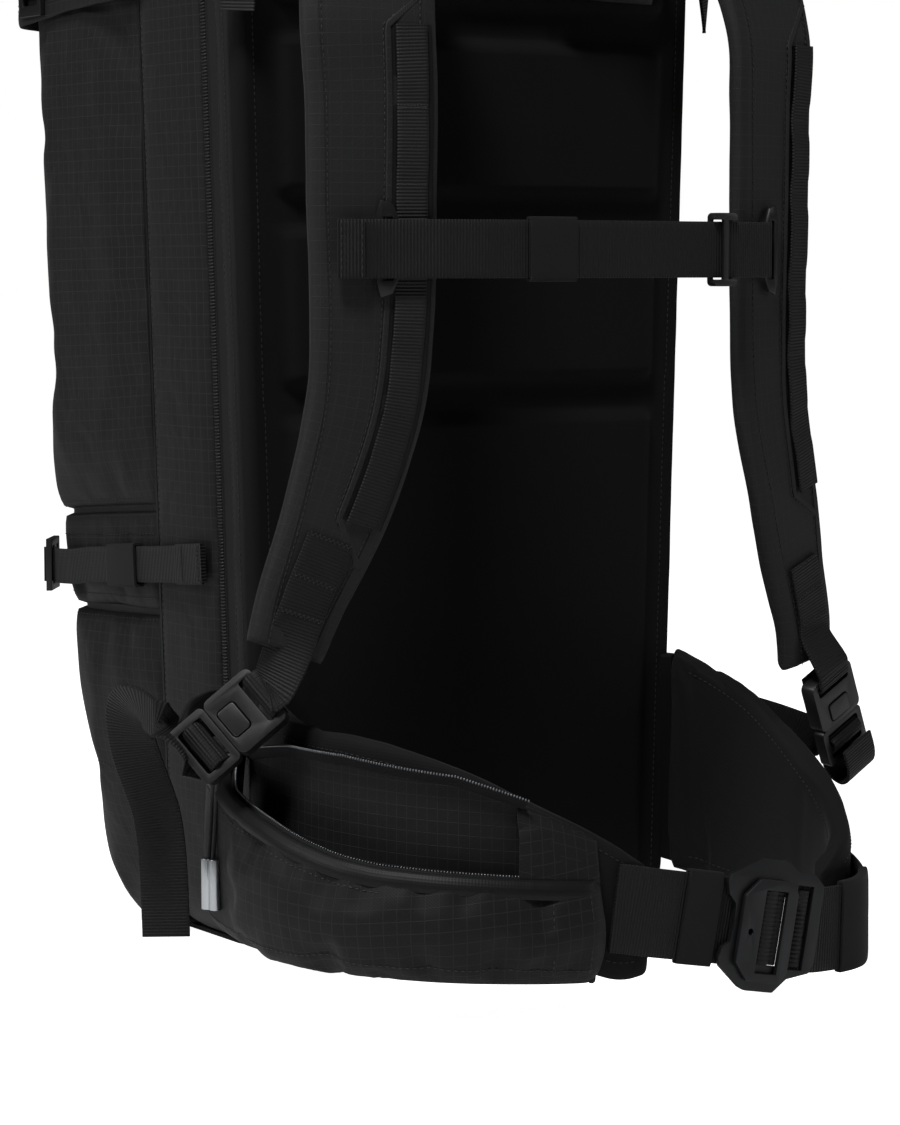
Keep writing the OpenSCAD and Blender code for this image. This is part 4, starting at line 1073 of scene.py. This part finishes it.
def dense(rows, spacing=2.5):
    """Rows with points added on the straight runs between them."""
    made = []
    for a, b in zip(rows[:-1], rows[1:]):
        a, b = np.asarray(a, float), np.asarray(b, float)
        count = max(1, int(np.linalg.norm(b[:3] - a[:3]) / spacing))
        made += [mix(a, b, i / count) for i in range(count)]
    return made + [np.asarray(rows[-1], float)]


def webbing_piece(name, rows, *nodes, material=None, width=None, body=None, spacing=3.0,
                  thick=WEBBING_T):
    made = ribbon(name, frames(dense(rows, spacing)), width, thick)
    return give(made, material or WEBBING, *nodes, body=body, slot="black_webbing")


def lower_webbing(name, list_of_frames, first, s, node):
    on_strap = [(*(f.p + f.normal * (FACE + 2.2)), 24.5, *f.across)
                for f in list_of_frames[first:-6:4]]
    rows = on_strap + [on_seat(s, -36, 6.9), on_seat(s, -30, 6.2), on_seat(s, -25.6, 5.8),
                       on_seat(s, -23.9, 2.5), on_seat(s, -23.9, -2.5), on_seat(s, -25.6, -5.6),
                       on_seat(s, -31, -6)]
    webbing_piece(name, smooth(rows, 4), node)
    for k in (0, 6, 12):
        f = list_of_frames[min(first + k, len(list_of_frames) - 7)]
        bartack("pack", f, 0.0, 22, FACE + 3.2)


lower_webbing("left_lower_webbing_strip", left_frames, len(left_frames) - 22, left_seat,
              "left_lower_webbing")
lower_webbing("right_lower_webbing_strip", right_frames, len(right_frames) - 26, right_seat,
              "right_lower_webbing")


def ladder(s):
    return [on_seat(s, x, z) for x, z in (
        (20, -10), (9, -7.5), (6.6, -3), (7.4, 2.6), (9.6, 5), (12.4, 5), (15.4, 2.8),
        (16.4, -1.6), (18.6, -5))]


tail = (0.83, -0.56, 0.0)
webbing_piece("left_adjuster_strip", smooth(
    smooth([(-138, 34, 133, 25, 0, 0, -1), (-152, 24, 134, 25, 0, 0, -1),
            (-176, 0, 133, 25, 0, -0.1, -1), (-192, -26, 126, 25, 0.2, -0.5, -0.8)], 3)
    + ladder(left_seat)
    + smooth([(-215, -43, 140, 25, *left_seat.across), (-221, -25, 149, 25, 0.4, -0.4, -0.8),
              (-217, -8, 141, 25, 0.7, -0.5, -0.5), (-205, 4, 116, 25, *tail),
              (-191, 11, 87, 25, *tail), (-185, 15, 56, 25, *tail), (-182, 18, 20, 25, *tail)], 2),
    3), "left_adjuster_webbing")
webbing_piece("right_adjuster_strip", smooth(
    smooth([(138, 34, 119, 25, 0, 0, 1), (152, 22, 119, 25, 0, 0, 1),
            (178, -14, 112, 25, 0.2, 0, 1), (194, -46, 104, 25, 0.5, 0.1, 0.8)], 3)
    + ladder(right_seat)
    + [on_seat(right_seat, x, z) for x, z in (
        (27, -6.4), (34, -3), (36.5, 3), (33, 8.6), (25, 11), (14, 11))], 3),
    "right_adjuster_webbing")
for side in ("left", "right"):
    for part in ("body", "tongue", "latch"):
        eased_copy(f"{side}_buckle_{part}", ACETAL, 0.7, 3, slot="black_acetal")


def load_lifter(list_of_frames, side):
    rows = []
    for k in (10, 9, 8):
        f = list_of_frames[k * STEPS // 3]
        outward = -1
        rows.append((*(f.p + outward * (f.width / 2 - 13) * f.across + (FACE + 2.4) * f.normal),
                     19, *f.across))
    over = -1 if side == "left" else 1
    for x, y, z, ax, ay in ((126, -36, 572, 1, 0.2), (138, -20, 552, 1, 0.2),
                            (148, -8, 522, 0.8, 0.6), (150, -6, 498, 0.6, 0.8)):
        rows.append((over * x, y, z, 19, ax, over * ay, 0))
    return webbing_piece(side + "_load_lifter_strip", smooth(rows, 5), "load_lifters")


load_lifter(left_frames, "left")
load_lifter(right_frames, "right")
webbing_piece("haul_loop_strip", smooth([
    (-34, -11.5, 528, 24, 0, 0.3, 0.95), (-30, -12, 552, 24, 0.9, 0.1, 0.3),
    (-14, -15, 577, 24, 0.4, -0.2, 0.9), (14, -15, 577, 24, -0.4, -0.2, 0.9),
    (30, -12, 552, 24, -0.9, 0.1, 0.3), (34, -11.5, 528, 24, 0, 0.3, 0.95)], 6),
    "haul_loop", width=10, thick=2.4)
eased_copy("trigger_holder", ACETAL, 0.8, 3, slot="black_acetal")
eased_copy("trigger_handle", RED_GRIP, 1.2, 3, slot="trigger_red")
for node in ("left_main_slider", "right_main_slider"):
    eased_copy(node, BLACK_METAL, 0.6, 2, slot="black_metal")


# ---------- sternum strap ----------

STERNUM_Z, STERNUM_Y, STERNUM_W = 377.0, -121.0, 29.0


def on_chest(s, l, z=STERNUM_Z):
    yaw = math.radians(CHEST_YAW)
    return np.array((*CHEST, z)) + s * np.array(lean(CHEST_YAW)) \
        + (FACE + l) * np.array((math.sin(yaw), -math.cos(yaw), 0.0))


def mirrored(p):
    return np.asarray(p, float) * (-1, 1, 1)


def level_rows(points, width):
    return [(*p, width, 0, 0, 1) for p in points]


webbing_piece("sternum_strip", level_rows([
    on_chest(-20, 5.2), on_chest(-8, 7), on_chest(10, 7), on_chest(33, 7),
    (-74, STERNUM_Y, STERNUM_Z), (82, STERNUM_Y, STERNUM_Z), mirrored(on_chest(32, 6.6)),
    mirrored(on_chest(16, 6.6))], STERNUM_W), "sternum_webbing")
webbing_piece("sternum_tab", level_rows([
    on_chest(-20.5, 7.1), on_chest(-12, 8.5), on_chest(-7, 8.9)], STERNUM_W), body="sternum_strap",
    thick=1.5)
tab = frames(level_rows([on_chest(-20, 8), on_chest(-6, 9.6)], STERNUM_W))
for along in (-18.6, -16.6, -8.6):
    line = [on_chest(along, 8.3 if along < -10 else 9.8, STERNUM_Z + h)
            for h in np.linspace(-13, 13, 14)]
    sew("sternum_strap", line, [tab[0].normal] * 14)
eased_copy("sternum_hooks", BLACK_METAL, 0.5, 2, slot="black_metal")
eased_copy("sternum_adjuster", ACETAL, 0.6, 2, slot="black_acetal")


def flat_keeper(name, list_of_frames, width, inside, node):
    """A sleeve of elastic tape round webbing: one closed loop of tape."""
    skin, swell = 1.3, 0.5
    rings = []
    for i, f in enumerate(list_of_frames):
        h, k = width / 2, inside / 2
        outer, inner = [], []
        for a in np.linspace(0, 2 * math.pi, 40, endpoint=False):
            c, s = math.cos(a), math.sin(a)
            square_x, square_y = np.sign(c) * abs(c) ** 0.25, np.sign(s) * abs(s) ** 0.25
            bulge = swell * (1 - (2 * i / (len(list_of_frames) - 1) - 1) ** 2)
            outer.append(f.p + f.across * square_x * (h + skin)
                         + f.normal * square_y * (k + skin + bulge))
            inner.append(f.p + f.across * square_x * h + f.normal * square_y * k)
        rings.append((outer, inner))
    sleeve = [o for o, _ in rings] + [n for _, n in rings[::-1]]
    made = loft(name, sleeve, loop=True, sharp=70.0)
    return give(made, ELASTIC, node, slot="black_elastic")


keeper_line = frames(dense(level_rows([(-49, STERNUM_Y, STERNUM_Z), (-21, STERNUM_Y, STERNUM_Z)],
                                      STERNUM_W), 3))
flat_keeper("sternum_keeper_elastic", keeper_line, STERNUM_W + 0.9, WEBBING_T + 0.9,
            "sternum_keeper")


# ---------- hip belt ----------

WING_T = 14.0


def upright(x, y, z0, z1):
    return (x, y, (z0 + z1) / 2, z1 - z0, 0, 0, 1)


left_wing_rows = [
    upright(-134, -4, 30, 150), upright(-146, -30, 28, 146), upright(-150, -70, 28, 140),
    upright(-142, -110, 29, 138), upright(-118, -148, 30, 129), upright(-80, -174, 31, 109),
    upright(-45, -186, 19, 88), upright(-26, -189, 20, 76)]
right_wing_rows = [
    upright(134, -4, 28, 154), upright(147, -28, 24, 143), upright(152.5, -55, 21, 131),
    upright(153, -90, 20, 110), upright(147, -121, 19, 90), upright(127, -154, 19, 72),
    upright(101, -172, 21, 57)]
left_wing = plan_frames(smooth(left_wing_rows, STEPS))
right_wing = plan_frames(smooth(right_wing_rows, STEPS))


def wing_skin(name, list_of_frames):
    """A padded wing: foam under a brushed lining, rounded at its edges."""
    rings = []
    last = len(list_of_frames) - 1
    for i, f in enumerate(list_of_frames):
        h = f.width / 2
        near = last - i
        thin = 1.0 if near >= 4 else (0.3, 0.62, 0.84, 0.95)[near]
        tall = 1.0 if near >= 4 else (0.84, 0.93, 0.97, 0.99)[near]
        ring = []
        for a in np.linspace(0, 2 * math.pi, 56, endpoint=False):
            c, s = math.cos(a), math.sin(a)
            across = np.sign(c) * abs(c) ** 0.28 * (h - 0.6) * tall
            deep = np.sign(s) * abs(s) ** 0.5 * (WING_T / 2 - 0.6) * thin
            ring.append(f.p + f.across * across + f.normal * deep)
        rings.append(ring)
    made = loft(name, rings, sharp=75.0)
    settle(made, lambda p: abs(p[1]) < 6, pressure=3.0, growth=0.02, cap=2.2, stiff=10.0)
    subdivide(made)
    wrinkle(made, 0.55, 30, seed=len(name))
    return made


for side, wing in (("left", left_wing), ("right", right_wing)):
    skin = wing_skin(side + "_hip_wing_foam", wing)
    give(skin, BINDING, side + "_hip_wing", slot="moulded_foam")
    tree = surface_of(skin)
    for sign in (-1, 1):
        line = [f.p + f.across * sign * (f.width / 2 - 9) - f.normal * 7 for f in wing[6:-8:2]]
        sew("pack", *laid_on(tree, line))
        line = [f.p + f.across * sign * (f.width / 2 - 9) + f.normal * 7 for f in wing[6:-8:2]]
        sew("pack", *laid_on(tree, line))


for side, over in (("left", -1), ("right", 1)):
    root = plan_frames([upright(over * 130, 11, 36, 150), upright(over * 132, 4, 33, 150),
                        upright(over * 134, -5, 32, 150)])
    give(ribbon(side + "_wing_root", root, None, 9.0, edge=2.0), COATED, body="pack",
         slot="coated_nylon")

# The hip pocket: cloth over the left wing, open between its zip's two tapes.
POCKET_IN = WING_T / 2 + 0.9
POCKET_FIRST, POCKET_LAST = 4, 68          # frames of the left wing


def table(t, rows):
    return float(np.interp(t, [r[0] for r in rows], [r[1] for r in rows]))


def pocket_share(k):
    """How far frame k of the wing is along the pocket, from 0 at the slider to 1."""
    return (k - POCKET_FIRST) / (POCKET_LAST - POCKET_FIRST)


def pocket_out(t):
    return mix(mix(30, 37, math.sin(math.radians(min(t, 0.6) * 150))), 19,
               float(np.clip((t - 0.55) / 0.45, 0, 1)))


def pocket_back(t):
    return table(t, ((0, 119), (0.35, 127), (0.5, 126), (0.72, 119), (0.88, 104), (1, 90)))


def pocket_lip(t):
    return table(t, ((0, 117), (0.1, 113), (0.2, 106), (0.31, 98), (0.36, 95), (0.45, 88),
                     (0.52, 83), (0.6, 79), (0.84, 73), (1, 70)))


def lip_out(t):
    return mix(13.0, pocket_out(t) - 4, float(np.clip(t / 0.22, 0, 1)))


def pocket_profile(f, t):
    """The pocket's section: down the wing, across the base, up the outer wall to the lip."""
    low = mix(31.0, 20.0, t)
    body = min(ease(t / 0.07 + 0.12), ease((1 - t) / 0.04 + 0.3))
    b = mix(POCKET_IN + 3, pocket_out(t), float(body))
    lip, off = pocket_lip(t), min(lip_out(t), b - 1.0)
    spots = [(POCKET_IN, z) for z in np.linspace(pocket_back(t), low + 6, 10)]
    spots += [(POCKET_IN + (b - POCKET_IN - 9) * i / 5, low + 1.2 * math.cos(i * math.pi / 5) - 0.4)
              for i in range(1, 5)]
    turn = np.radians(np.linspace(-90, 0, 6))
    spots += [(b - 9 + 9 * math.cos(a), low + 9 + 9 * math.sin(a)) for a in turn]
    top = lip - 6
    for s in np.linspace(0, 1, 13)[1:]:
        sag = 2.0 * math.sin(math.pi * s)
        spots.append((b + sag, mix(low + 9, top, s)))
    for s in (0.25, 0.5, 0.75, 1.0):
        spots.append((mix(b, off, s), top + 6 * math.sin(s * math.pi / 2)))
    return [(*(f.p + f.normal * o)[:2], z) for o, z in spots]


def pocket_cloth():
    rings = []
    for k in range(POCKET_FIRST, POCKET_LAST + 1):
        rings.append(pocket_profile(left_wing[k], pocket_share(k)))
    made = loft("hip_pocket_cloth", rings, wrap=False, caps=False, sharp=80.0)
    return made, np.array(rings)


pocket, pocket_rings = pocket_cloth()


def pocket_sewn(p):
    """True on the wing side, the base seam and the two rims."""
    p = np.array(p)
    near = min(left_wing[POCKET_FIRST:POCKET_LAST + 1:2], key=lambda f: np.hypot(*(f.p - p)[:2]))
    return (p - near.p) @ near.normal < POCKET_IN + 2.0 or p[2] < 24 or p[1] > -58


rim_points = {tuple(np.round(ring[-1], 2)) for ring in pocket_rings}
settle(pocket, lambda p: pocket_sewn(p) or tuple(np.round(p, 2)) in rim_points,
       pressure=1.0, growth=0.04, cap=4.0, stiff=2.5)
subdivide(pocket)
wrinkle(pocket, 1.0, 24, seed=29, hold=lambda p: float(p[1] > -62 or pocket_sewn(p)))
thick = pocket.modifiers.new("cloth", "SOLIDIFY")
thick.thickness = 1.2 * MM
thick.offset = -1.0
bake_modifiers(pocket)
finish_mesh(pocket.data, 80.0)
give(pocket, RIPSTOP, "hip_pocket", slot="ripstop_nylon")
pocket_tree = surface_of(pocket)


def rim_strip(name, off, rise, first, last, lean_in, width=7.0):
    """A zip tape along the pocket's rim, standing up and leaning over the mouth."""
    rows = []
    for k in range(first, last + 1):
        t = pocket_share(k)
        f = left_wing[k]
        p = f.p + f.normal * off(t)
        wish = unit(np.array((0, 0, 1.0)) + f.normal * lean_in)
        rows.append((p[0], p[1], rise(t), width, *wish))
    made = ribbon(name, frames(rows), width, 1.2)
    give(made, ZIP_TAPE, "hip_pocket_zip", slot="zip_tape")
    line = frames(rows)
    teeth = [f.p + f.across * (width / 2 + 0.3) for f in line]
    proud = 0.9 if lean_in < 0 else -0.9
    thread = [f.p - f.across * (width / 2 - 1.5) + f.normal * proud for f in line]
    return (teeth, [f.normal for f in line]), (thread, [f.normal for f in line])


MOUTH_END = POCKET_FIRST + 54
front_teeth, front_thread = rim_strip(
    "pocket_front_tape", lambda t: min(lip_out(t), pocket_out(t) - 4) - 1.4,
    lambda t: pocket_lip(t) - 2.4, POCKET_FIRST + 3, MOUTH_END, -0.35)
rear_teeth, rear_thread = rim_strip(
    "pocket_rear_tape", lambda t: POCKET_IN + 2.2 + 2.5 * float(ease(t / 0.3)),
    lambda t: pocket_back(t) + 1.0 - 5.0 * (1 - float(ease(t / 0.35))),
    POCKET_FIRST + 3, MOUTH_END, 0.9)
make_row("pocket_zip_teeth", [front_teeth, rear_teeth], 1.5, 1.0, 1.6, 1.5, TEETH, "pack")
sew("pack", *front_thread)
sew("pack", *rear_thread)


COVER_CROWN = 2.5


def cover(name, first, last, material):
    """Cloth over the pocket's closed ends, from the wing's side to the front lip."""
    rings = []
    for k in range(first, last + 1):
        t = pocket_share(k)
        f = left_wing[k]
        near = min(lip_out(t), pocket_out(t) - 1.0)
        top = []
        for s in np.linspace(0.0, 1.0, 12):
            p = f.p + f.normal * mix(POCKET_IN + 0.5, near + 0.4, s)
            z = mix(pocket_back(t) - 1.0, pocket_lip(t) + 0.4, s ** 1.3) \
                + COVER_CROWN * math.sin(math.pi * s)
            top.append((p[0], p[1], z))
        rings.append(top + [(x, y, z - 1.2) for x, y, z in top[::-1]])
    made = loft(name, rings, sharp=70.0)
    wrinkle(made, 0.7, 14, seed=31)
    return give(made, material, body="pack", slot="ripstop_nylon")


cover("pocket_front_cover", MOUTH_END - 1, POCKET_LAST, RIPSTOP)
cover("pocket_rear_cover", POCKET_FIRST, POCKET_FIRST + 3, ZIP_TAPE)


def lip_band():
    """The smooth facing folded over the pocket's front lip."""
    rings = []
    for k in range(POCKET_FIRST + 1, POCKET_LAST + 1):
        t = pocket_share(k)
        f = left_wing[k]
        edge = [np.array(p) for p in pocket_profile(f, t)[-5:]]
        edge.insert(0, edge[0] - (0, 0, 2.5))
        lifted = []
        for i, p in enumerate(edge):
            turn = math.radians(90.0 * i / (len(edge) - 1))
            lift = f.normal * math.cos(turn) + np.array((0, 0, 1.0)) * math.sin(turn)
            lifted.append((p + lift * (0.5 if i in (0, len(edge) - 1) else 1.3), p - lift * 0.6))
        rings.append([a for a, _ in lifted] + [b for _, b in lifted[::-1]])
    made = loft("pocket_lip_facing", rings, sharp=60.0)
    return give(made, COATED, body="pack", slot="ripstop_nylon")


lip_band()

# Seams of the pocket: below the lip, along the base and up the front end.
def pocket_line(first, last, height):
    """Stitches along the pocket's outer wall; height gives z at each share of its length."""
    line = []
    for k in range(first, last):
        t, f = pocket_share(k), left_wing[k]
        line.append((*(f.p + f.normal * (pocket_out(t) + 2))[:2], height(t)))
    sew("pack", *laid_on(pocket_tree, line))


pocket_line(10, 46, lambda t: pocket_lip(t) - 10.5)
for k in (POCKET_LAST - 2, POCKET_LAST - 7):
    f = left_wing[k]
    foot = (f.p + f.normal * (pocket_out(pocket_share(k)) + 3))[:2]
    sew("pack", *laid_on(pocket_tree, [(*foot, z) for z in np.linspace(26, 84, 24)]))
pocket_line(POCKET_FIRST + 3, POCKET_LAST - 1, lambda t: mix(31, 20, t) + 7)
eased_copy("pocket_slider", BLACK_METAL, 0.5, 2, slot="black_metal")


# ---------- pocket puller ----------

CORD_D = 2.1
PULLER = (-186.5, -38.0)


tube = eased_copy("pocket_puller", BRUSHED, 0.5, 3, slot="bare_aluminium")


def puller_strand(name, side):
    """One strand of the doubled cord, from the slider's ring through the knot to the tube."""
    rows = [(-166.5, -22.2, 121.4), (-172, -24, 121), (-177, -27, 117.5), (-179.5, -30, 110),
            (-183, -35, 92), (*PULLER, 69.5)]
    points = smooth([np.array(p, float) for p in rows], 6)
    across = unit((0.35, -0.94, 0.0))
    path = []
    for i, p in enumerate(points):
        t = i / (len(points) - 1)
        apart = 1.5 - 0.27 * math.exp(-((t - 0.52) / 0.05) ** 2)
        path.append(np.asarray(p[:3]) + across * side * apart)
    turns = np.linspace(0, 2 * math.pi, 12, endpoint=False)
    rings = []
    for f in frames([(*p, 0, *across) for p in path]):
        rings.append([f.p + CORD_D / 2 * (math.cos(a) * f.across + math.sin(a) * f.normal)
                      for a in turns])
    made = loft(name, rings, sharp=70.0)
    give(made, CORD_FINISH, "pocket_cord", slot="puller_cord")
    return path


# Braided polyester accessory cord, 2 mm: small round braid bumps.
CORD_FINISH = textile("cord_braided", "#161617", "#242425", 0.7, 0.12,
                      ribs=[("twill", 1.4, 0.12)], mottle=10)
near_strand = puller_strand("pocket_cord_near", 1)
puller_strand("pocket_cord_far", -1)


def knot():
    """An overhand knot round the doubled cord."""
    middle = np.array(near_strand[int(len(near_strand) * 0.5)]) - unit((0.35, -0.94, 0.0)) * 1.5
    points = []
    for t in np.linspace(0, 2 * math.pi, 40, endpoint=False):
        points.append(middle + np.array((
            2.5 * math.cos(2 * t) + 0.9 * math.cos(t), 2.5 * math.sin(2 * t) - 0.9 * math.sin(t),
            2.3 * math.sin(3 * t))))
    rings = []
    for i, p in enumerate(points):
        along = unit(points[(i + 1) % 40] - points[i - 1])
        side = unit(np.cross(along, (0.1, 0.2, 1.0)))
        up = np.cross(along, side)
        rings.append([p + 1.05 * (math.cos(a) * side + math.sin(a) * up)
                      for a in np.linspace(0, 2 * math.pi, 10, endpoint=False)])
    return loft("pocket_cord_knot", rings, loop=True, sharp=80.0)


give(knot(), CORD_FINISH, body="pocket_puller", slot="puller_cord")


# ---------- front of the belt ----------

HIP_W = 44.0
HIP_LEAN = math.radians(11)
HIP_C = np.array((41.0, -201.0, 38.0))
HIP_U = np.array((math.cos(HIP_LEAN), 0.0, -math.sin(HIP_LEAN)))
HIP_V = np.array((math.sin(HIP_LEAN), 0.0, math.cos(HIP_LEAN)))


def hip_line(s, n):
    return HIP_C + s * HIP_U + np.array((0.0, -n, 0.0))


webbing_piece("left_hip_strip", smooth([
    (-50, -196, 55.6, HIP_W, *HIP_V), (-42, -197.3, 54.4, HIP_W, *HIP_V)], 2)
    + [(*hip_line(s, -2.3), HIP_W, *HIP_V) for s in (-74, -50, -6)], "left_hip_webbing")
right_hip_rows = [
    (*hip_line(18, -2.3), HIP_W, *HIP_V), (*hip_line(38, -3.5), HIP_W, *HIP_V),
    (112, -189, 30, HIP_W, 0, 0, 1), (140, -159, 30, HIP_W, 0, 0, 1),
    (157, -122, 34, HIP_W, 0, 0, 1), (164, -86, 40, HIP_W - 2, 0, 0, 1)]
right_hip = frames(smooth(right_hip_rows, 12))
give(ribbon("right_hip_strip", right_hip, None, WEBBING_T), WEBBING, "right_hip_webbing",
     slot="black_webbing")
flat_keeper("right_hip_keeper_elastic", right_hip[18:34], HIP_W + 1.0, WEBBING_T + 0.9,
            "right_hip_keeper")
left_keeper = frames(dense([(*hip_line(s, -2.3), HIP_W, *HIP_V) for s in (-52, -31)], 3))
flat_keeper("left_hip_keeper_elastic", left_keeper, HIP_W + 1.0, WEBBING_T + 0.9, "left_hip_keeper")
eased_copy("hip_buckle_frame", ANODISED, 0.8, 3, slot="black_aluminium")
eased_copy("hip_buckle_hook", ANODISED, 0.8, 3, slot="black_aluminium")


def window_fold(name, s0, s1, base, height, body, tall=20.0):
    """Webbing that turns round the bar behind a window: a half-round fold seen through it."""
    rows = []
    middle, radius = (s0 + s1) / 2, (s1 - s0) / 2
    for a in np.linspace(180, 0, 13):
        s = middle + radius * math.cos(math.radians(a))
        n = base + height * math.sin(math.radians(a))
        rows.append((*hip_line(s, n), tall * 2, *HIP_V))
    return give(ribbon(name, frames(rows), tall * 2, 1.4), RIB_WEBBING, body=body,
                slot="black_webbing")


window_fold("hip_hook_fold", -6.4, 1.6, 2.9, 2.4, "hip_hook", tall=19.5)
window_fold("hip_hook_under", 1.9, 6.6, 2.9, 0.5, "hip_hook", tall=19.5)
window_fold("hip_frame_fold", 17.0, 24.5, -1.0, 3.0, "pack", tall=19.5)


# ---------- compression straps ----------

COMP_Z = 197.0
corner_x, corner_y = half_w(COMP_Z) - 18, DEPTH - 33
HOOK_P = np.array((-corner_x - 21, corner_y + 20, COMP_Z))
HOOK_D = unit((0.6, 0.8, 0))
HOOK_N = np.cross(HOOK_D, (0, 0, 1.0))


def in_hook(along, off):
    return HOOK_P + along * HOOK_D + off * HOOK_N


side_x = -half_w(COMP_Z) - 5
comp_line = [(side_x, 48, COMP_Z + 14), (side_x, 110, COMP_Z + 9), (side_x, 178, COMP_Z + 4),
             (side_x - 1, 200, COMP_Z + 1), in_hook(-14, 7.5), in_hook(-7.5, 5.6), in_hook(-4, 4.4),
             in_hook(-3.3, 1.5), in_hook(-3.3, -2.2)]
for side, over in (("left", 1.0), ("right", -1.0)):
    flip = np.array((over, 1.0, 1.0))
    webbing_piece(side + "_compression_strip",
                  level_rows([np.array(p) * flip for p in comp_line], 20), "compression_straps")
    patch = level_rows([np.array((side_x - 1.6, y, COMP_Z + 14 - (y - 48) / 12)) * flip
                        for y in (48, 60, 76)], 22)
    webbing_piece(side + "_compression_patch", patch, body="pack", thick=1.4)
    f = frames(patch)[1]
    for k in (-9, 9):
        g = Frame(f.p + f.along * k, f.across, f.normal, 22, f.along)
        bartack("pack", g, 0.0, 20, -1.2 if over > 0 else 1.2)
    loop_rows = frames(dense(level_rows([np.array((side_x, y, COMP_Z + 14 - (y - 48) / 12)) * flip
                                         for y in (122, 154)], 20), 3))
    flat_keeper(side + "_compression_keeper", loop_rows, 21.5, 4.0, "compression_straps")
eased_copy("compression_hooks", BLACK_METAL, 0.5, 2, slot="black_metal")
y_front = DEPTH - 8
webbing_piece("front_strip", level_rows([
    (2 - corner_x, y_front - 1, COMP_Z), (20 - corner_x, y_front, COMP_Z), (0, y_front, COMP_Z),
    (corner_x - 20, y_front, COMP_Z), (corner_x - 2, y_front - 1, COMP_Z)], 20), "front_webbing")

for key, lines in STITCHES.items():
    body, kind = (key.split(":") + ["run"])[:2]
    pitch, length = (0.95, 0.9) if kind == "tack" else (3.4, 2.5)
    make_row(f"{body}_{kind}_stitches", [(list(p), list(n)) for p, n in lines if len(p) > 1],
             pitch, length, 0.6, 0.5, THREAD, body)


# ---------- floor and light ----------

# Lit sweep of a light table: white of itself, and darker only where the bag shades it.
PALE, pale_tree, pale_shader = new_finish("sweep_acrylic_lit", 0.9, **{
    "Base Color": hex_colour("#f2f2f2"), "Specular IOR Level": 0.0,
    "Emission Color": hex_colour("#ffffff")})
glow = add(pale_tree, "ShaderNodeMapRange", {
    "Value": add(pale_tree, "ShaderNodeLightPath").outputs["Is Camera Ray"],
    "To Min": 0.06, "To Max": 0.98})
pale_tree.links.new(glow.outputs[0], pale_shader.inputs["Emission Strength"])
floor_mesh = bpy.data.meshes.new("floor")
floor_mesh.from_pydata([(-30, -30, 0), (30, -30, 0), (30, 30, 0), (-30, 30, 0)], [], [(0, 1, 2, 3)])
floor_mesh.materials.append(PALE)
floor = bpy.data.objects.new("floor", floor_mesh)
scene.collection.objects.link(floor)

AMBIENT = 0.04
world = bpy.data.worlds.new("studio")
world.use_nodes = True
sky = world.node_tree
sky.nodes.clear()
seen = add(sky, "ShaderNodeLightPath").outputs["Is Camera Ray"]
level = add(sky, "ShaderNodeMapRange", {"Value": seen, "To Min": AMBIENT, "To Max": 1.0})
sky_light = add(sky, "ShaderNodeBackground", {"Color": hex_colour("#ffffff"),
                                              "Strength": level.outputs[0]})
add(sky, "ShaderNodeOutputWorld", {"Surface": sky_light.outputs[0]})
scene.world = world


def softbox(name, place, aim, size, power):
    light = bpy.data.lights.new(name, "AREA")
    light.shape = "SQUARE"
    light.size = size
    light.energy = power
    made = bpy.data.objects.new(name, light)
    scene.collection.objects.link(made)
    made.location = place
    made.rotation_mode = "QUATERNION"
    made.rotation_quaternion = (Vector(aim) - Vector(place)).to_track_quat("-Z", "Y")
    return made


softbox("key", (-2.2, 0.2, 1.5), (-0.05, 0.0, 0.3), 0.5, 19)
softbox("top", (-0.9, -0.8, 2.2), (0, -0.05, 0.3), 0.45, 38)
softbox("right", (1.9, -1.5, 1.1), (0.05, -0.1, 0.25), 0.8, 5)
scene.view_settings.view_transform = "Standard"
